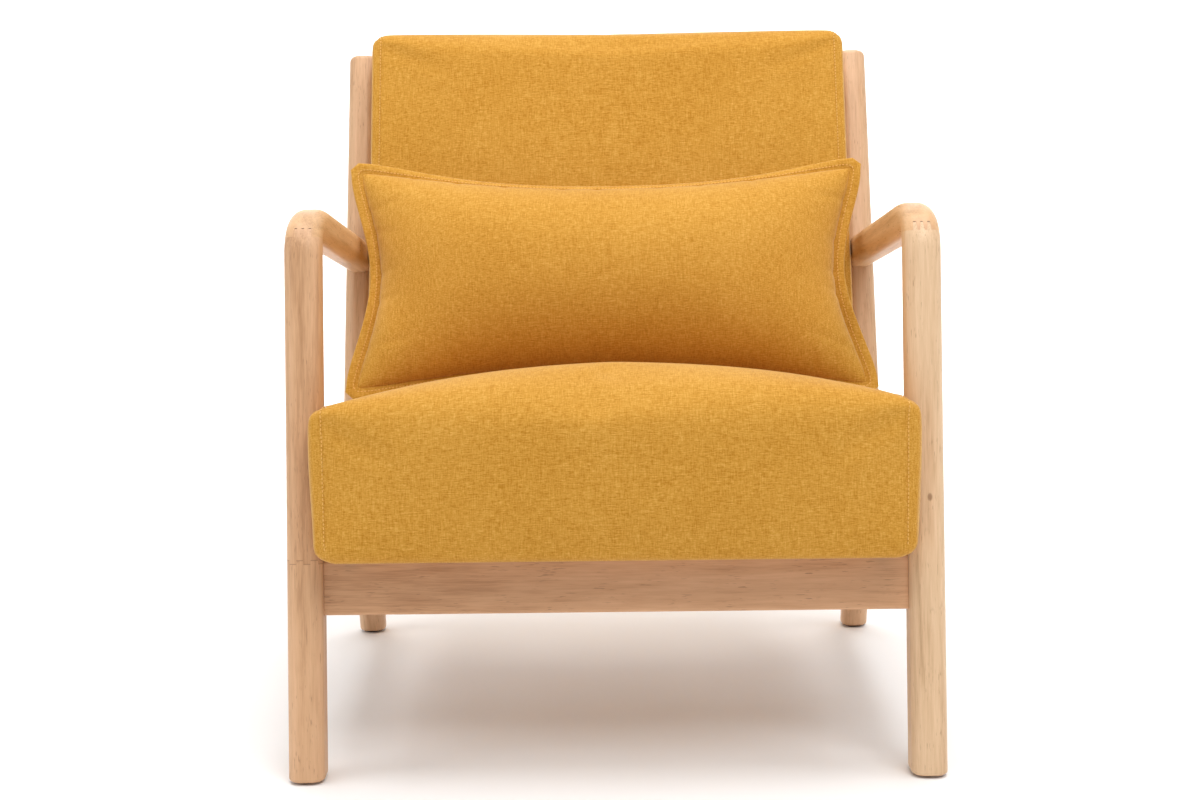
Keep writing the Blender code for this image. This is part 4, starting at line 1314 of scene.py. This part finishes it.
class CHAIR_OT_pillow(bpy.types.Operator):
    """Loose lumbar pillow with a flat stitched flange"""
    bl_idname = "chair.pillow"
    bl_label = "Lumbar Pillow"

    def rest_on(self, pillow, back_face, ease=0.01):
        """Flattens the pillow where it leans on the back cushion."""
        co, _ = vertex_arrays(pillow.data)
        start = back_face - ease
        over = co[:, 1] > start
        co[over, 1] = start + ease * np.tanh((co[over, 1] - start) / ease)
        write_vertices(pillow.data, co)

    def execute(self, context):
        settings = context.scene.chair_cloth
        recline = context.scene.chair_frame.recline
        shape = PillowShape(settings)
        cad_low, cad_high = tilted_box("pillow_cover", recline)
        centre = (cad_low + cad_high) / 2
        centre.z -= exact(settings.pillow_drop)
        matrix = tilt_matrix(recline) @ Matrix.Translation(centre)
        give = exact(settings.pillow_give)
        depth = exact(settings.pillow_fill + give)
        pillow = new_object("pillow_body", shape.body(depth), None, matrix)
        co, _ = vertex_arrays(pillow.data)
        on_seam = np.abs(co[:, 1]) < 1e-5
        inflate(pillow, on_seam, pressure=15.0, cap=give)
        refine(pillow)
        shape.crease(pillow)
        self.rest_on(pillow, tilted_box("back_cover", recline)[0].y - centre.y - 0.006)
        weave = cloth_material("pillow_weave", 0.02)
        finish_cloth(pillow, "pillow", weave, 0.85, "pillow_cover", "pillow_insert")
        bm, points, outward = shape.flange()
        hem = new_object("pillow_flange", bm, weave, matrix, 60)
        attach(hem, "pillow")
        tree = surface_tree(hem)
        rows = []
        for face in (-1, 1):
            line = [Vector((p.x + o.x * 0.0030, face * 0.004, p.y + o.y * 0.0030))
                    for p, o in zip(points, outward)]
            rows.append(lay_on(tree, even_path(line + line[:1], settings.stitch_pitch)))
        add_stitches("pillow_topstitch", rows, matrix, thread_material(), "pillow")
        return {"FINISHED"}


# ---------------------------------------------------------------- stage

class CHAIR_OT_stage(bpy.types.Operator):
    """Pale floor, soft lights and the camera"""
    bl_idname = "chair.stage"
    bl_label = "Stage"

    def add_light(self, name, place, target, size, energy):
        data = bpy.data.lights.new(name, "AREA")
        data.shape = "RECTANGLE"
        data.size, data.size_y = size
        data.energy = energy
        light = bpy.data.objects.new(name, data)
        light.location = place
        light.rotation_euler = (Vector(target) - Vector(place)).to_track_quat("-Z", "Y").to_euler()
        bpy.context.scene.collection.objects.link(light)

    def add_floor(self, shade):
        g = Graph("pale_floor", Roughness=0.9, Specular_IOR_Level=0.1)
        place = g.node("TexCoord", {}, {}, "Object")
        cloud = g.noise(g.stretch(place, (3, 3, 3)), 2)
        g.shade("Base Color", g.mix(cloud * 0.3, shade, tuple(c * 0.97 for c in shade)))
        bend, radius, steps = 2.2, 1.6, 12
        profile = [(-6.0, 0.0), (bend, 0.0)]
        for i in range(1, steps + 1):
            turn = math.pi / 2 * i / steps
            profile.append((bend + math.sin(turn) * radius, radius - math.cos(turn) * radius))
        profile.append((bend + radius, 6.0))
        bm = bmesh.new()
        rows = [[bm.verts.new((x, y, z)) for x in (-7.0, 7.0)] for y, z in profile]
        for a, b in zip(rows, rows[1:]):
            bm.faces.new((a[0], a[1], b[1], b[0]))
        floor = new_object("floor_sweep", bm, g.material)

    def execute(self, context):
        s = context.scene.chair_stage
        scene = context.scene
        camera = bpy.data.objects.new("camera", bpy.data.cameras.new("camera"))
        camera.data.lens = s.camera_lens
        camera.data.sensor_width = 36.0
        lean = context.scene.chair_frame.lean
        foot = box_centre("glide_front_left").y - 0.024 / math.cos(lean)
        camera.location = (-s.camera_shift, foot - s.camera_back, s.camera_height)
        turn = (Matrix.Rotation(math.pi / 2 - s.camera_pitch, 4, "X")
                @ Matrix.Rotation(s.camera_roll, 4, "Z"))
        camera.rotation_euler = turn.to_euler()
        scene.collection.objects.link(camera)
        scene.camera = camera
        scene.view_settings.view_transform = "Standard"
        world = bpy.data.worlds.new("soft_white")
        world.use_nodes = True
        sky = world.node_tree.nodes["Background"]
        sky.inputs["Color"].default_value = (1.0, 1.0, 1.0, 1.0)
        sky.inputs["Strength"].default_value = s.sky
        scene.world = world
        self.add_floor(s.floor)
        middle = (0, 0, 0.4)
        self.add_light("key", (0.7, -2.3, 2.9), middle, (2.4, 1.6), 49)
        self.add_light("left", (-2.6, -0.9, 1.5), middle, (1.6, 2.2), 22)
        self.add_light("right", (2.6, -0.6, 1.5), middle, (1.6, 2.2), 16)
        self.add_light("top", (0.0, 0.0, 3.2), middle, (2.8, 2.8), 81)
        self.add_light("backdrop", (0.0, 1.6, 2.4), (0.0, 3.8, 1.2), (11.0, 1.2), 240)
        return {"FINISHED"}


# ---------------------------------------------------------------- registration

OPERATORS = (CHAIR_OT_stage, CHAIR_OT_front_legs, CHAIR_OT_arms, CHAIR_OT_rear_posts,
             CHAIR_OT_rails, CHAIR_OT_glides, CHAIR_OT_bolts, CHAIR_OT_seat, CHAIR_OT_back,
             CHAIR_OT_pillow, CHAIR_OT_inner_parts)


class CHAIR_PT_panel(bpy.types.Panel):
    """Lists the armchair's settings and building steps"""
    bl_label = "Armchair"
    bl_idname = "CHAIR_PT_panel"
    bl_space_type = "VIEW_3D"
    bl_region_type = "UI"
    bl_category = "Armchair"

    def draw(self, context):
        layout = self.layout
        for name, group in GROUPS.items():
            box = layout.box()
            settings = getattr(context.scene, name)
            for prop in group.__annotations__:
                box.prop(settings, prop)
        for operator in OPERATORS:
            layout.operator(operator.bl_idname)


CLASSES = tuple(GROUPS.values()) + OPERATORS + (CHAIR_PT_panel,)


def register():
    for cls in CLASSES:
        bpy.utils.register_class(cls)
    for name, group in GROUPS.items():
        setattr(bpy.types.Scene, name, PointerProperty(type=group))


def unregister():
    for name in GROUPS:
        delattr(bpy.types.Scene, name)
    for cls in reversed(CLASSES):
        bpy.utils.unregister_class(cls)


def main():
    register()
    for operator in OPERATORS:
        group, name = operator.bl_idname.split(".")
        getattr(getattr(bpy.ops, group), name)()


if __name__ == "__main__":
    main()
